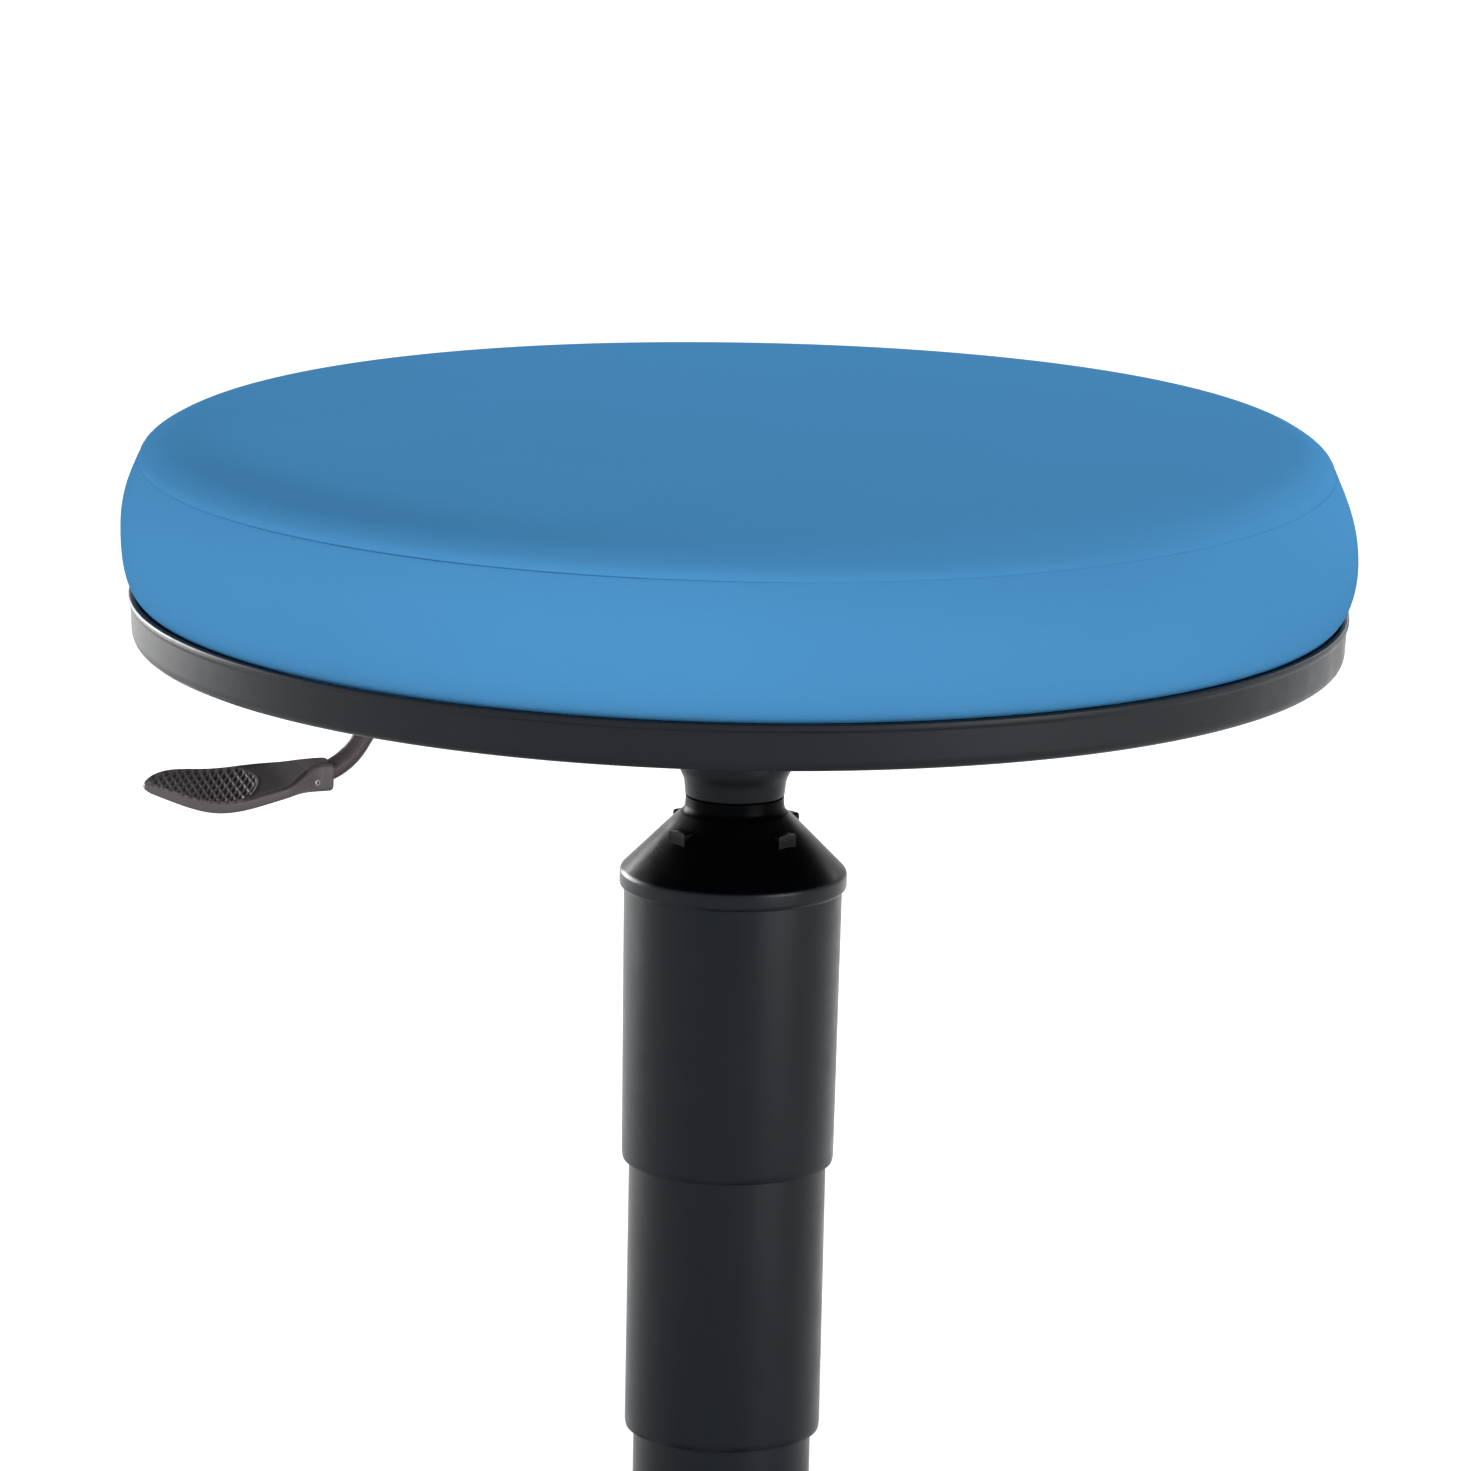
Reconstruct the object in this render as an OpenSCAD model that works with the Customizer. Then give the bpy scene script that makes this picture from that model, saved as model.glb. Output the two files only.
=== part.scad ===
// Height-adjustable laboratory stool: round upholstered seat on a gas-spring column with a
// telescopic cover, on a five-armed base with twin-wheel castors.
// Drawn at its highest seat position. Z is up, the floor is z = 0, the column stands on the Z axis
// and the height lever points along -X.

/* [Seat pad] */
// Widest diameter of the upholstered pad
seat_d = 380; // [340:5:420]
// Height of the pad's edge above the tray's rim
pad_h = 50; // [44:1:60]
// Extra height of the crown at the pad's centre
crown_h = 4; // [1:0.5:8]
// Height of the sewn seam above the tray's rim
seam_h = 41; // [36:1:42]
// Height of the widest point above the tray's rim
bulge_h = 21; // [14:1:26]
// How far the pad is drawn in at the tray, on the radius
base_in = 5.8; // [4:0.2:9]
// How far the pad is drawn in at the seam, on the radius
seam_in = 6.3; // [3:0.1:9]
// Depth of the valley at the seam
seam_dip = 0.7; // [0.3:0.1:1.2]
// Thickness of the vinyl cover
cover_t = 1.2; // [0.8:0.1:1.6]
// Width of cover folded under the board
tuck_w = 28; // [18:1:36]
// Thickness of the plywood board
board_t = 10; // [9:0.5:12]
// Number of staples under the board
staple_n = 30; // [20:1:40]

/* [Tray] */
// Height of the tray's rim
tray_h = 14.4; // [13.6:0.2:20]
// Wall of the tray
tray_t = 2; // [1.6:0.1:2.4]
// How far the tray's foot is drawn in from its rim, on the radius
tray_in = 3.6; // [2:0.2:6]
// Radius of the tray's lower corner
tray_corner = 5; // [3:0.5:6]
// Height of the pads round the bolt holes inside the tray
tray_pad_h = 2; // [1.8:0.1:2.6]

/* [Seat mechanism] */
// Side of the square seat plate
plate_w = 162; // [154:2:200]
// Thickness of the pressed plate and its pan
plate_t = 2.5; // [2:0.1:3]
// Depth of the pressed pan
pan_h = 24.5; // [23:0.5:30]
// Outer side of the pressed pan
pan_w = 104; // [96:2:108]
// Spacing of the four seat bolts
bolt_pitch = 132; // [128:1:136]
// Diameter of the seat bolts
bolt_d = 8; // [6:1:8]
// Distance of the socket's lower end below the tray
socket_drop = 52; // [48:1:60]
// Outer diameter of the socket at its lower end
socket_d = 31; // [30.5:0.5:33]
// Diameter of the socket's collar
collar_d = 34; // [34:0.5:38]

/* [Height lever] */
// Diameter of the lever rod
lever_d = 5.5; // [5:0.5:6]
// Distance of the lever's pivot from the column's axis
pivot_x = 42; // [38:1:44]
// Length of the straight rod before it bends down
lever_run = 100; // [92:1:106]
// Angle of the downward bend
lever_bend = 58; // [45:1:62]
// Radius of the upper bend
bend_r = 20; // [16:1:24]
// Radius of the lower bend
bend_low_r = 20; // [14:1:24]
// Length of the steep stretch between the bends
lever_steep = 6.5; // [4:0.5:12]
// Length of the grip
grip_l = 62; // [56:1:80]
// Greatest width of the grip
grip_w = 31; // [26:1:38]
// Thickness of the grip's blade
grip_t = 5.4; // [4.6:0.2:7]
// How far the grip's blade sags in its middle
grip_sag = 3; // [1:0.5:5]
// Tilt of the blade's near edge
grip_tilt = 5; // [0:1:10]
// Height of the grip's ferrule
ferrule_h = 8.6; // [8.2:0.2:12]
// Width of the grip's ferrule
ferrule_w = 10; // [9:0.5:13]

/* [Column cover] */
// Height of the conical cap
cap_h = 24; // [22:1:28]
// Diameter of the cap's neck
cap_neck_d = 31; // [30:0.5:32]
// Diameter of the cap's lip
cap_lip_d = 70.6; // [70:0.2:74]
// Diameter of the upper tube at its top
upper_d = 67.8; // [67.2:0.2:69]
// Diameter of the middle tube under the upper one
middle_d = 61.6; // [61.2:0.2:61.8]
// Diameter of the lower tube under the middle one
lower_d = 55.6; // [55.2:0.2:55.8]
// Wall of the cover's tubes
tube_t = 1.6; // [1.4:0.1:1.7]
// Length of the upper tube that shows
upper_l = 87; // [80:1:100]
// Length of the middle tube that shows with the seat raised
middle_show = 87; // [80:1:90]
// Length of the middle tube inside the upper one with the seat raised
middle_hidden = 12; // [8:1:13]
// Height of the upper tube over the hub with the seat lowered
closed_gap = 12; // [10:1:16]

/* [Gas spring] */
// Travel of the seat
stroke = 140; // [110:5:140]
// Diameter of the stand tube
stand_d = 50; // [49.4:0.1:50]
// Wall of the stand tube
stand_t = 1.5; // [1.2:0.1:1.8]
// Diameter of the pressure cylinder
cylinder_d = 28; // [27.6:0.1:28]
// Wall of the pressure cylinder
cylinder_t = 1.5; // [1.2:0.1:2]
// Diameter of the piston rod
rod_d = 10; // [8:0.5:12]
// Half angle of the tapers at both ends of the column
taper_deg = 1.4321; // [1.2:0.01:1.6]
// Length of the guide bush
guide_l = 85; // [60:1:95]
// Travel of the valve pin when the lever is raised
pin_travel = 4; // [3:0.25:4]
// Diameter of the bearing balls
ball_d = 4; // [3:0.25:4.5]
// Number of bearing balls
ball_n = 10; // [8:1:10]

/* [Base] */
// Height of the hub
hub_h = 64; // [56:1:70]
// Diameter of the hub at its top
hub_d = 74; // [72:1:80]
// Distance of each castor's stem from the column
castor_r = 270; // [240:5:300]
// Width of an arm where it leaves the hub
arm_root_w = 48; // [44:1:54]
// Width of an arm at its tip
arm_tip_w = 36; // [34:1:44]
// Height of an arm at its tip
arm_tip_h = 27; // [26:1:32]
// Wall of the arms
arm_t = 3.6; // [3:0.1:4.5]
// Thickness of the ribs under the arms
rib_t = 2.4; // [2:0.1:3]
// Thickness of the steel sleeve in the hub
sleeve_t = 1.5; // [1.2:0.1:2]

/* [Castors] */
// Height from the floor to the arms
castor_h = 60; // [58:1:66]
// Diameter of the wheels
wheel_d = 50; // [46:1:50]
// Width of one wheel
wheel_w = 17; // [15:0.5:19]
// Distance of the axle behind the stem
trail = 21; // [19:1:24]
// Turn of every castor from its arm's direction
castor_turn = 70; // [0:5:360]
// Diameter of the stems
stem_d = 11; // [10:0.5:11]
// Length of the stem inside the arm
stem_l = 22; // [18:1:22]
// Thickness of the housings' middle web
web_t = 12; // [11.6:0.2:14]

/* [Hidden] */
$fn = 96;
ARMS = 5;

// Clearances
fit_gap = 0.05;
run_gap = 0.1;
slide_gap = 0.3;
soft_gap = 0.3;
eps = 1;

// Colours
VINYL = [0.27, 0.54, 0.78];
BLACK = [0.09, 0.1, 0.12];
GRIP_GREY = [0.2, 0.18, 0.18];
STEEL = [0.62, 0.63, 0.65];
FOAM = [0.93, 0.86, 0.62];
PLYWOOD = [0.78, 0.62, 0.42];
TREAD = [0.3, 0.31, 0.33];

// Heights of the base and the column
hub_rise = 8;
hub_z = castor_h + hub_rise;
hub_top = hub_z + hub_h;
arm_root_top = hub_top - 5;
arm_root_z = hub_z + 6;
upper_z = hub_top + closed_gap + stroke;
middle_z = upper_z - middle_show;
lower_hidden = 35;
lower_l = middle_z - hub_top + lower_hidden;
cap_z = upper_z + upper_l;
cap_top = cap_z + cap_h;
cap_bell = 7.2;
cap_grip_h = 8;
stand_clear = 13;
stand_top = cap_top - stroke - cap_grip_h - stand_clear;
stand_drop = 23;
stand_z = hub_z - stand_drop;
stand_floor = 3;
taper_drop = hub_h * tan(taper_deg);

// Heights and radii of the seat
socket_rise = 2;
tray_z = cap_top + socket_rise + socket_drop;
rim_z = tray_z + tray_h;
seat_r = seat_d / 2;
base_r = seat_r - base_in;
seam_r = seat_r - seam_in;
tray_r = base_r + soft_gap + tray_t;
tray_foot_r = tray_r - tray_in;
tray_draft = tray_in / tray_h;
board_z = tray_z + tray_t + tray_pad_h;
board_top = board_z + board_t;
board_r = tray_foot_r - tray_t - cover_t - 2 * soft_gap + (board_z - tray_z) * tray_draft - 2;
edge_in = 23;
top_edge_r = seat_r - edge_in;
top_edge_z = rim_z + pad_h;
seam_z = rim_z + seam_h;

// Parts of the seat mechanism
plate_z = tray_z - plate_t;
pan_z = tray_z - pan_h;
lever_rise = 10;
lever_z = pan_z + plate_t + lever_rise;
socket_z = tray_z - socket_drop;
socket_top = pan_z + plate_t + 1;
cylinder_top = socket_top;
pin_r = 3;
pin_top = lever_z - lever_d / 2 - slide_gap;
plate_corner = 12;
bolt_head_h = 5.5;
tee_flange_r = 10;
tee_flange_t = 1.5;
tee_barrel_r = bolt_d / 2 + 1;
trunnion_w = 12;
trunnion_r = 2.5;
ear_t = 2.5;
ear_y = trunnion_w / 2 + 0.5;

// Inside the gas spring
bore_r = cylinder_d / 2 - cylinder_t;
race_t = 2;
race_r = 11;
tail_r = rod_d / 2 - 1;
floor_top = stand_z + stand_floor;
ball_z = floor_top + race_t + fit_gap + ball_d / 2;
ball_ring_r = (race_r + tail_r) / 2 + 0.2;
upper_race_z = ball_z + ball_d / 2 + fit_gap;
shoulder_z = upper_race_z + race_t;
bumper_h = 6;
cylinder_z = shoulder_z + bumper_h + 3 + stroke;
rod_guide_h = 16;
piston_h = 12;
piston_z = cylinder_z + rod_guide_h + 5;
clip_t = 1;
block_h = 22;

// Castor sizes shared by its pieces
wheel_r = wheel_d / 2;
axle_z = wheel_r;
axle_r = 3;
axle_cover = 2.5;
wheel_inner = web_t / 2 + 0.5;
wheel_outer = wheel_inner + wheel_w;
hood_r = wheel_r + 1.5;
hood_t = 2.6;
boss_r = 9;
stem_low_r = 4;

// A cubic curve from a to d, drawn towards b and c, as n + 1 points
function curve(a, b, c, d, n) =
    [for (i = [0:n]) let (t = i / n, s = 1 - t)
        s * s * s * a + 3 * s * s * t * b + 3 * s * t * t * c + t * t * t * d];

// A path moved sideways by t, to the left of its own direction
function offset_path(p, t) =
    [for (i = [0:len(p) - 1])
        let (q = p[min(i + 1, len(p) - 1)] - p[max(i - 1, 0)], n = [-q[1], q[0]] / norm(q))
            p[i] + t * n];

function reversed(p) = [for (i = [len(p) - 1:-1:0]) p[i]];

// The pad's outline from the board's edge up to the seam
function side_path() =
    let (
        foot = [board_r + soft_gap + cover_t, board_top - 1],
        base = [base_r, rim_z + 0.6],
        bulge = [seat_r, rim_z + bulge_h],
        seam = [seam_r - seam_dip, seam_z]
    )
    concat(
        curve(foot, foot + [1, 0.5], base - [1.5, 1.5], base, 3),
        [for (p = curve(base, base + [base_in * 0.7, 4], bulge - [0, 8], bulge, 8))
            if (p != base) p],
        [for (p = curve(bulge, bulge + [0, 9], seam + [seam_dip + 2.2, -5], seam, 8))
            if (p != bulge) p]
    );

// The pad's outline from the seam over the rounded edge to the centre
function top_path() =
    let (
        seam = [seam_r - seam_dip, seam_z],
        edge = [top_edge_r, top_edge_z],
        slope = 2 * crown_h / top_edge_r
    )
    concat(
        curve(seam, seam + [-0.4 + seam_dip, 3], edge + [9, -9 * slope], edge, 8),
        [for (i = [1:6]) let (r = top_edge_r * (1 - i / 6))
            [r, top_edge_z + crown_h * (1 - pow(r / top_edge_r, 2))]]
    );

module at_bolts() {
    for (x = [-1, 1], y = [-1, 1])
        translate([x * bolt_pitch / 2, y * bolt_pitch / 2, 0])
            children();
}

module at_arm(i) {
    rotate([0, 0, -90 + i * 360 / ARMS])
        children();
}

module at_castor(i) {
    at_arm(i)
        translate([castor_r, 0, 0])
            rotate([0, 0, castor_turn])
                children();
}

// A rectangle with round corners, as a flat shape
module round_rectangle(x, y, r) {
    square([x - 2 * r, y], center = true);
    square([x, y - 2 * r], center = true);
    for (a = [-1, 1], b = [-1, 1])
        translate([a * (x / 2 - r), b * (y / 2 - r)])
            circle(r);
}

module ring(z, h, outer, inner) {
    translate([0, 0, z])
        difference() {
            cylinder(h, outer, outer);
            translate([0, 0, -eps])
                cylinder(h + 2 * eps, inner, inner);
        }
}

module cover_top_panel() {
    path = top_path();
    color(VINYL)
        rotate_extrude()
            polygon(concat(
                path,
                [[0, top_edge_z + crown_h - cover_t]],
                [for (p = reversed(offset_path(path, cover_t))) if (p[0] > 1 && p[1] > seam_z) p],
                [[seam_r - seam_dip - cover_t, seam_z]]
            ));
}

module cover_side_band() {
    path = side_path();
    top_end = [seam_r - seam_dip - cover_t, seam_z];
    inner = [for (p = reversed(offset_path(path, cover_t))) if (p[1] < seam_z - 0.4) p];
    wall_r = board_r + soft_gap;
    color(VINYL)
        rotate_extrude()
            polygon(concat(
                [[board_r - tuck_w, board_z - cover_t - fit_gap]],
                [[wall_r + cover_t - 1, board_z - cover_t - fit_gap]],
                [[wall_r + cover_t, board_z - cover_t + 1]],
                path,
                [top_end],
                inner,
                [[wall_r, board_top - 1.5], [wall_r, board_z - fit_gap]],
                [[board_r - tuck_w, board_z - fit_gap]]
            ));
}

module foam_pad() {
    side = [for (p = offset_path(side_path(), cover_t + soft_gap)) if (p[1] > board_top) p];
    top = [for (p = offset_path(top_path(), cover_t + soft_gap)) if (p[0] > 1) p];
    top_z = top_edge_z + crown_h - cover_t - soft_gap;
    color(FOAM)
        rotate_extrude()
            polygon(concat(
                [[0, board_top], [board_r - 1, board_top]],
                [for (p = side) if (p[1] < seam_z - 1) p],
                [for (p = top) if (p[1] > seam_z + 1) p],
                [[0, top_z]]
            ));
}

module seat_board() {
    color(PLYWOOD)
        difference() {
            translate([0, 0, board_z])
                cylinder(board_t, board_r, board_r, $fn = 180);
            at_bolts() {
                translate([0, 0, board_z - eps])
                    cylinder(board_t + 2 * eps, r = tee_barrel_r + fit_gap);
                translate([0, 0, board_top - tee_flange_t - fit_gap])
                    cylinder(tee_flange_t + eps, r = tee_flange_r + fit_gap);
            }
        }
}

module tee_nuts() {
    color(STEEL)
        at_bolts()
            difference() {
                union() {
                    translate([0, 0, board_top - tee_flange_t - fit_gap])
                        cylinder(tee_flange_t, r = tee_flange_r);
                    translate([0, 0, board_z + 1])
                        cylinder(board_t - 1 - tee_flange_t, r = tee_barrel_r);
                }
                translate([0, 0, board_z])
                    cylinder(board_t + eps, r = bolt_d / 2 + fit_gap);
            }
}

module cover_staples() {
    staple = [9, 0.9, 0.5];
    crown_z = board_z - cover_t - fit_gap - staple[2];
    color(STEEL)
        for (i = [0:staple_n - 1])
            rotate([0, 0, (i + 0.5) * 360 / staple_n])
                translate([board_r - tuck_w / 2, 0, crown_z + staple[2] / 2])
                    rotate([0, 0, 90])
                        cube(staple, center = true);
}

module seat_tray() {
    foot = tray_foot_r - tray_corner;
    arc = [for (a = [-90:15:0]) [foot + tray_corner * cos(a), tray_z + tray_corner * (1 + sin(a))]];
    lip = [[tray_r - 0.6, rim_z - 2.4], [tray_r, rim_z - 1.6], [tray_r, rim_z - 0.6]];
    inner_foot = foot + 1;
    color(BLACK)
        difference() {
            union() {
                rotate_extrude($fn = 180)
                    polygon(concat(
                        [[0, tray_z]],
                        arc,
                        lip,
                        [[tray_r - 0.7, rim_z], [tray_r - tray_t, rim_z]],
                        [[tray_foot_r - tray_t + 0.6, tray_z + tray_corner]],
                        [[inner_foot, tray_z + tray_t], [0, tray_z + tray_t]]
                    ));
                at_bolts()
                    translate([0, 0, tray_z + tray_t / 2])
                        cylinder(tray_t / 2 + tray_pad_h, r = 12);
            }
            at_bolts()
                translate([0, 0, tray_z - eps])
                    cylinder(tray_t + tray_pad_h + 2 * eps, r = bolt_d / 2 + 0.4);
        }
}

module seat_plate() {
    slot_w = 2 * ear_y;
    color(BLACK)
        difference() {
            union() {
                translate([0, 0, plate_z])
                    linear_extrude(plate_t)
                        round_rectangle(plate_w, plate_w, plate_corner);
                translate([0, 0, pan_z])
                    linear_extrude(pan_h - plate_t)
                        round_rectangle(pan_w, pan_w, plate_corner);
            }
            translate([0, 0, pan_z + plate_t])
                linear_extrude(pan_h)
                    round_rectangle(pan_w - 2 * plate_t, pan_w - 2 * plate_t, plate_corner - plate_t);
            translate([0, 0, pan_z - eps])
                cylinder(plate_t + 2 * eps, r = collar_d / 2 + fit_gap);
            at_bolts()
                translate([0, 0, plate_z - eps])
                    cylinder(plate_t + 2 * eps, r = bolt_d / 2 + 0.4);
            translate([-pan_w / 2 - eps, -slot_w / 2, lever_z - 8])
                cube([plate_t + 2 * eps, slot_w, 17]);
        }
}

module taper_socket() {
    length = socket_top - socket_z;
    bottom_r = cylinder_d / 2 + fit_gap;
    collar_z = socket_z + 8;
    color(BLACK)
        difference() {
            union() {
                translate([0, 0, socket_z])
                    cylinder(length, r = socket_d / 2);
                translate([0, 0, collar_z])
                    cylinder(3, socket_d / 2, collar_d / 2);
                translate([0, 0, collar_z + 3])
                    cylinder(socket_top - collar_z - 3, r = collar_d / 2);
            }
            translate([0, 0, socket_z])
                cylinder(length, bottom_r, bottom_r - length * tan(taper_deg));
            translate([0, 0, socket_z - eps])
                cylinder(2 * eps, bottom_r, bottom_r);
            translate([0, 0, socket_top - eps])
                cylinder(2 * eps, r = bottom_r - length * tan(taper_deg));
        }
}

module plate_bolts() {
    shank = board_top - 3 - plate_z;
    color(STEEL)
        at_bolts() {
            translate([0, 0, plate_z - bolt_head_h])
                cylinder(bolt_head_h - 1.2, r = bolt_d * 0.85, $fn = 6);
            translate([0, 0, plate_z - 1.2])
                cylinder(1.2, r = bolt_d * 1.05);
            translate([0, 0, plate_z - 0.1])
                cylinder(shank, r = bolt_d / 2);
        }
}

module lever_bracket() {
    ear_l = 12;
    ear_h = lever_z + 5 - pan_z - plate_t;
    color(STEEL)
        difference() {
            union() {
                for (s = [-1, 1])
                    translate([-pivot_x - ear_l / 2, s > 0 ? ear_y : -ear_y - ear_t, pan_z + plate_t])
                        cube([ear_l, ear_t, ear_h]);
                translate([-pivot_x - ear_l / 2, -ear_y, pan_z + plate_t])
                    cube([ear_l, 2 * ear_y, 1.5]);
            }
            translate([-pivot_x, 0, lever_z])
                rotate([90, 0, 0])
                    cylinder(60, r = trunnion_r + run_gap, center = true);
        }
}

module lever_trunnion() {
    color(BLACK)
        difference() {
            translate([-pivot_x, 0, lever_z]) {
                cube([11, trunnion_w, 11], center = true);
                rotate([90, 0, 0])
                    cylinder(2 * (ear_y + ear_t) + 1, r = trunnion_r, center = true);
            }
            translate([-pivot_x, 0, lever_z])
                rotate([0, 90, 0])
                    cylinder(30, r = lever_d / 2 + fit_gap, center = true);
        }
}

// The lever's centre line: ends of its two bends
bend_1 = [-lever_run, lever_z];
bend_1_end = bend_1 - bend_r * [sin(lever_bend), 1 - cos(lever_bend)];
bend_2 = bend_1_end - lever_steep * [cos(lever_bend), sin(lever_bend)];
grip_slope = 2;
bend_2_end = bend_2
    - bend_low_r * [sin(lever_bend) - sin(grip_slope), cos(grip_slope) - cos(lever_bend)];
lever_tail = 7;

// The rod's round stretches, made thicker by grow all round
module lever_line(grow) {
    r = lever_d / 2 + grow;
    overlap = 0.4;
    module straight(from, dip, length) {
        translate([from[0], 0, from[1]])
            rotate([0, -90 - dip, 0])
                translate([0, 0, -overlap])
                    cylinder(length + 2 * overlap, r = r);
    }
    module bend(centre, radius, from, turn) {
        translate([centre[0], 0, centre[1]])
            rotate([90, 0, 0])
                rotate([0, 0, from])
                    rotate_extrude(angle = turn)
                        translate([radius, 0])
                            circle(r + 0.03);
    }
    straight([5, lever_z], 0, lever_run + 5);
    bend(bend_1 - [0, bend_r], bend_r, 90, lever_bend);
    straight(bend_1_end, lever_bend, lever_steep);
    bend(bend_2 + bend_low_r * [-sin(lever_bend), cos(lever_bend)], bend_low_r,
        grip_slope - 90, lever_bend - grip_slope);
    straight(bend_2_end, grip_slope, lever_tail + grow);
}

module lever_rod() {
    color(GRIP_GREY)
        lever_line(0);
}

// The grip's half width, centre height, half thickness and tilt, u from 0 at the rod to 1 at the tip
grip_x = bend_2_end[0] + 6;
grip_z = bend_2_end[1] - 0.4;
ferrule_end = 0.18;
widest = 0.68;
function ease(t) = 0.5 - 0.5 * cos(180 * min(1, max(0, t)));
function grip_half_w(u) =
    u < widest
        ? ferrule_w / 2 + (grip_w - ferrule_w) / 2 * ease((u - ferrule_end) / (widest - ferrule_end))
        : grip_w / 2 * sqrt(max(0.03, 1 - pow((u - widest) / (1.02 - widest), 2.4)));
function grip_mid(u) = -grip_sag * (0.5 - 0.5 * cos(360 * pow(max(0, u - 0.1) / 0.9, 1.2)));
function grip_half_t(u) =
    grip_t / 2 + (ferrule_h - grip_t) / 2 * (1 - ease((u - ferrule_end) / 0.3))
        - 0.2 * grip_t * ease((u - 0.8) / 0.4);

// One cross-section of the grip: a rounded box
function grip_section(u) =
    let (
        w = grip_half_w(u),
        t = grip_half_t(u),
        c = min(w, t) * 0.75,
        turn = grip_tilt * ease((u - ferrule_end) / 0.4)
    )
        [for (k = [0:3], a = [0:30:90])
            let (
                y = (k == 0 || k == 3 ? w - c : c - w) + c * cos(a + 90 * k),
                z = (k < 2 ? t - c : c - t) + c * sin(a + 90 * k)
            )
                [grip_x - u * grip_l, y * cos(turn) - z * sin(turn),
                    grip_z + grip_mid(u) + y * sin(turn) + z * cos(turn)]];

// A closed solid through a list of sections with equally many points
module loft(sections) {
    n = len(sections[0]);
    m = len(sections);
    polyhedron(
        [for (s = sections) each s],
        concat(
            [[for (k = [0:n - 1]) n - 1 - k]],
            [for (j = [0:m - 2], k = [0:n - 1])
                [j * n + k, j * n + (k + 1) % n, (j + 1) * n + k]],
            [for (j = [0:m - 2], k = [0:n - 1])
                [j * n + (k + 1) % n, (j + 1) * n + (k + 1) % n, (j + 1) * n + k]],
            [[for (k = [0:n - 1]) (m - 1) * n + k]]
        )
    );
}

module lever_grip() {
    steps = [0, 0.08, 0.2, 0.28, 0.36, 0.44, 0.52, 0.6, 0.68, 0.76, 0.83, 0.89, 0.94, 0.975, 1];
    color(GRIP_GREY)
        difference() {
            loft([for (u = steps) grip_section(u)]);
            lever_line(fit_gap);
            translate([grip_x - 8, -ferrule_w / 2, grip_z])
                rotate([90, 0, 0])
                    cylinder(20, r = 1.5 + fit_gap, center = true, $fn = 32);
        }
}

module grip_screw() {
    color(STEEL)
        translate([grip_x - 8, -lever_d / 2 - fit_gap - 0.3, grip_z])
            rotate([90, 0, 0])
                cylinder(ferrule_w / 2 - lever_d / 2 - 0.5, r = 1.5, $fn = 32);
}

module pressure_cylinder() {
    taper_l = cylinder_top - socket_z;
    neck_r = cylinder_d / 2 - taper_l * tan(taper_deg);
    color(STEEL)
        rotate_extrude()
            polygon([
                [bore_r, cylinder_z], [cylinder_d / 2, cylinder_z], [cylinder_d / 2, socket_z],
                [neck_r, cylinder_top], [bore_r - 0.8, cylinder_top],
                [bore_r - 0.8, cylinder_top - 2], [bore_r - 0.8, cylinder_top - block_h],
                [bore_r, cylinder_top - block_h]
            ]);
}

module valve_block() {
    r = bore_r - 0.8 - fit_gap;
    color(STEEL)
        ring(cylinder_top - block_h, block_h - 1, r, pin_r + run_gap);
}

module valve_pin() {
    low = cylinder_top - block_h + pin_travel + 2;
    color(STEEL) {
        translate([0, 0, low])
            cylinder(pin_top - 1.2 - low, r = pin_r);
        translate([0, 0, pin_top - 1.2])
            cylinder(1.2, pin_r, pin_r - 1.2);
    }
}

module rod_guide() {
    color(BLACK)
        ring(cylinder_z + 1, rod_guide_h - 1, bore_r - fit_gap, rod_d / 2 + run_gap);
}

module piston() {
    color(STEEL)
        difference() {
            ring(piston_z, piston_h, bore_r - run_gap, rod_d / 2 - 1 + fit_gap);
            ring(piston_z + piston_h / 2 - 1.5, 3, bore_r + 1, bore_r - 1.5);
        }
    color(BLACK)
        ring(piston_z + piston_h / 2 - 1.4, 2.8, bore_r - run_gap, bore_r - 1.45);
}

module piston_rod() {
    color(STEEL) {
        translate([0, 0, stand_z - 3])
            cylinder(shoulder_z - stand_z + 4, r = tail_r);
        translate([0, 0, shoulder_z])
            cylinder(piston_z - shoulder_z, r = rod_d / 2);
        translate([0, 0, piston_z - 0.5])
            cylinder(piston_h + 1.5, r = rod_d / 2 - 1);
    }
}

module rod_bumper() {
    color(BLACK)
        ring(shoulder_z, bumper_h, race_r, rod_d / 2 + fit_gap);
}

module bearing_upper_race() {
    color(STEEL)
        ring(upper_race_z, race_t, race_r, tail_r + fit_gap);
}

module bearing_lower_race() {
    color(STEEL)
        ring(floor_top, race_t, race_r, tail_r + run_gap + 0.3);
}

module at_balls() {
    for (i = [0:ball_n - 1])
        rotate([0, 0, i * 360 / ball_n])
            translate([ball_ring_r, 0, ball_z])
                children();
}

module bearing_balls() {
    color(STEEL)
        at_balls()
            sphere(d = ball_d, $fn = 32);
}

module bearing_cage() {
    cage_t = 1.2;
    color(BLACK)
        difference() {
            ring(ball_z - cage_t / 2, cage_t, race_r - 0.2, tail_r + 0.7);
            at_balls()
                sphere(d = ball_d + 2 * fit_gap, $fn = 32);
        }
}

module retaining_clip() {
    color(STEEL)
        difference() {
            ring(stand_z - clip_t - fit_gap, clip_t, tail_r + 4, tail_r + fit_gap);
            translate([0, -tail_r / 2, stand_z - clip_t - 1])
                cube([20, tail_r, clip_t + 2]);
        }
}

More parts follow.
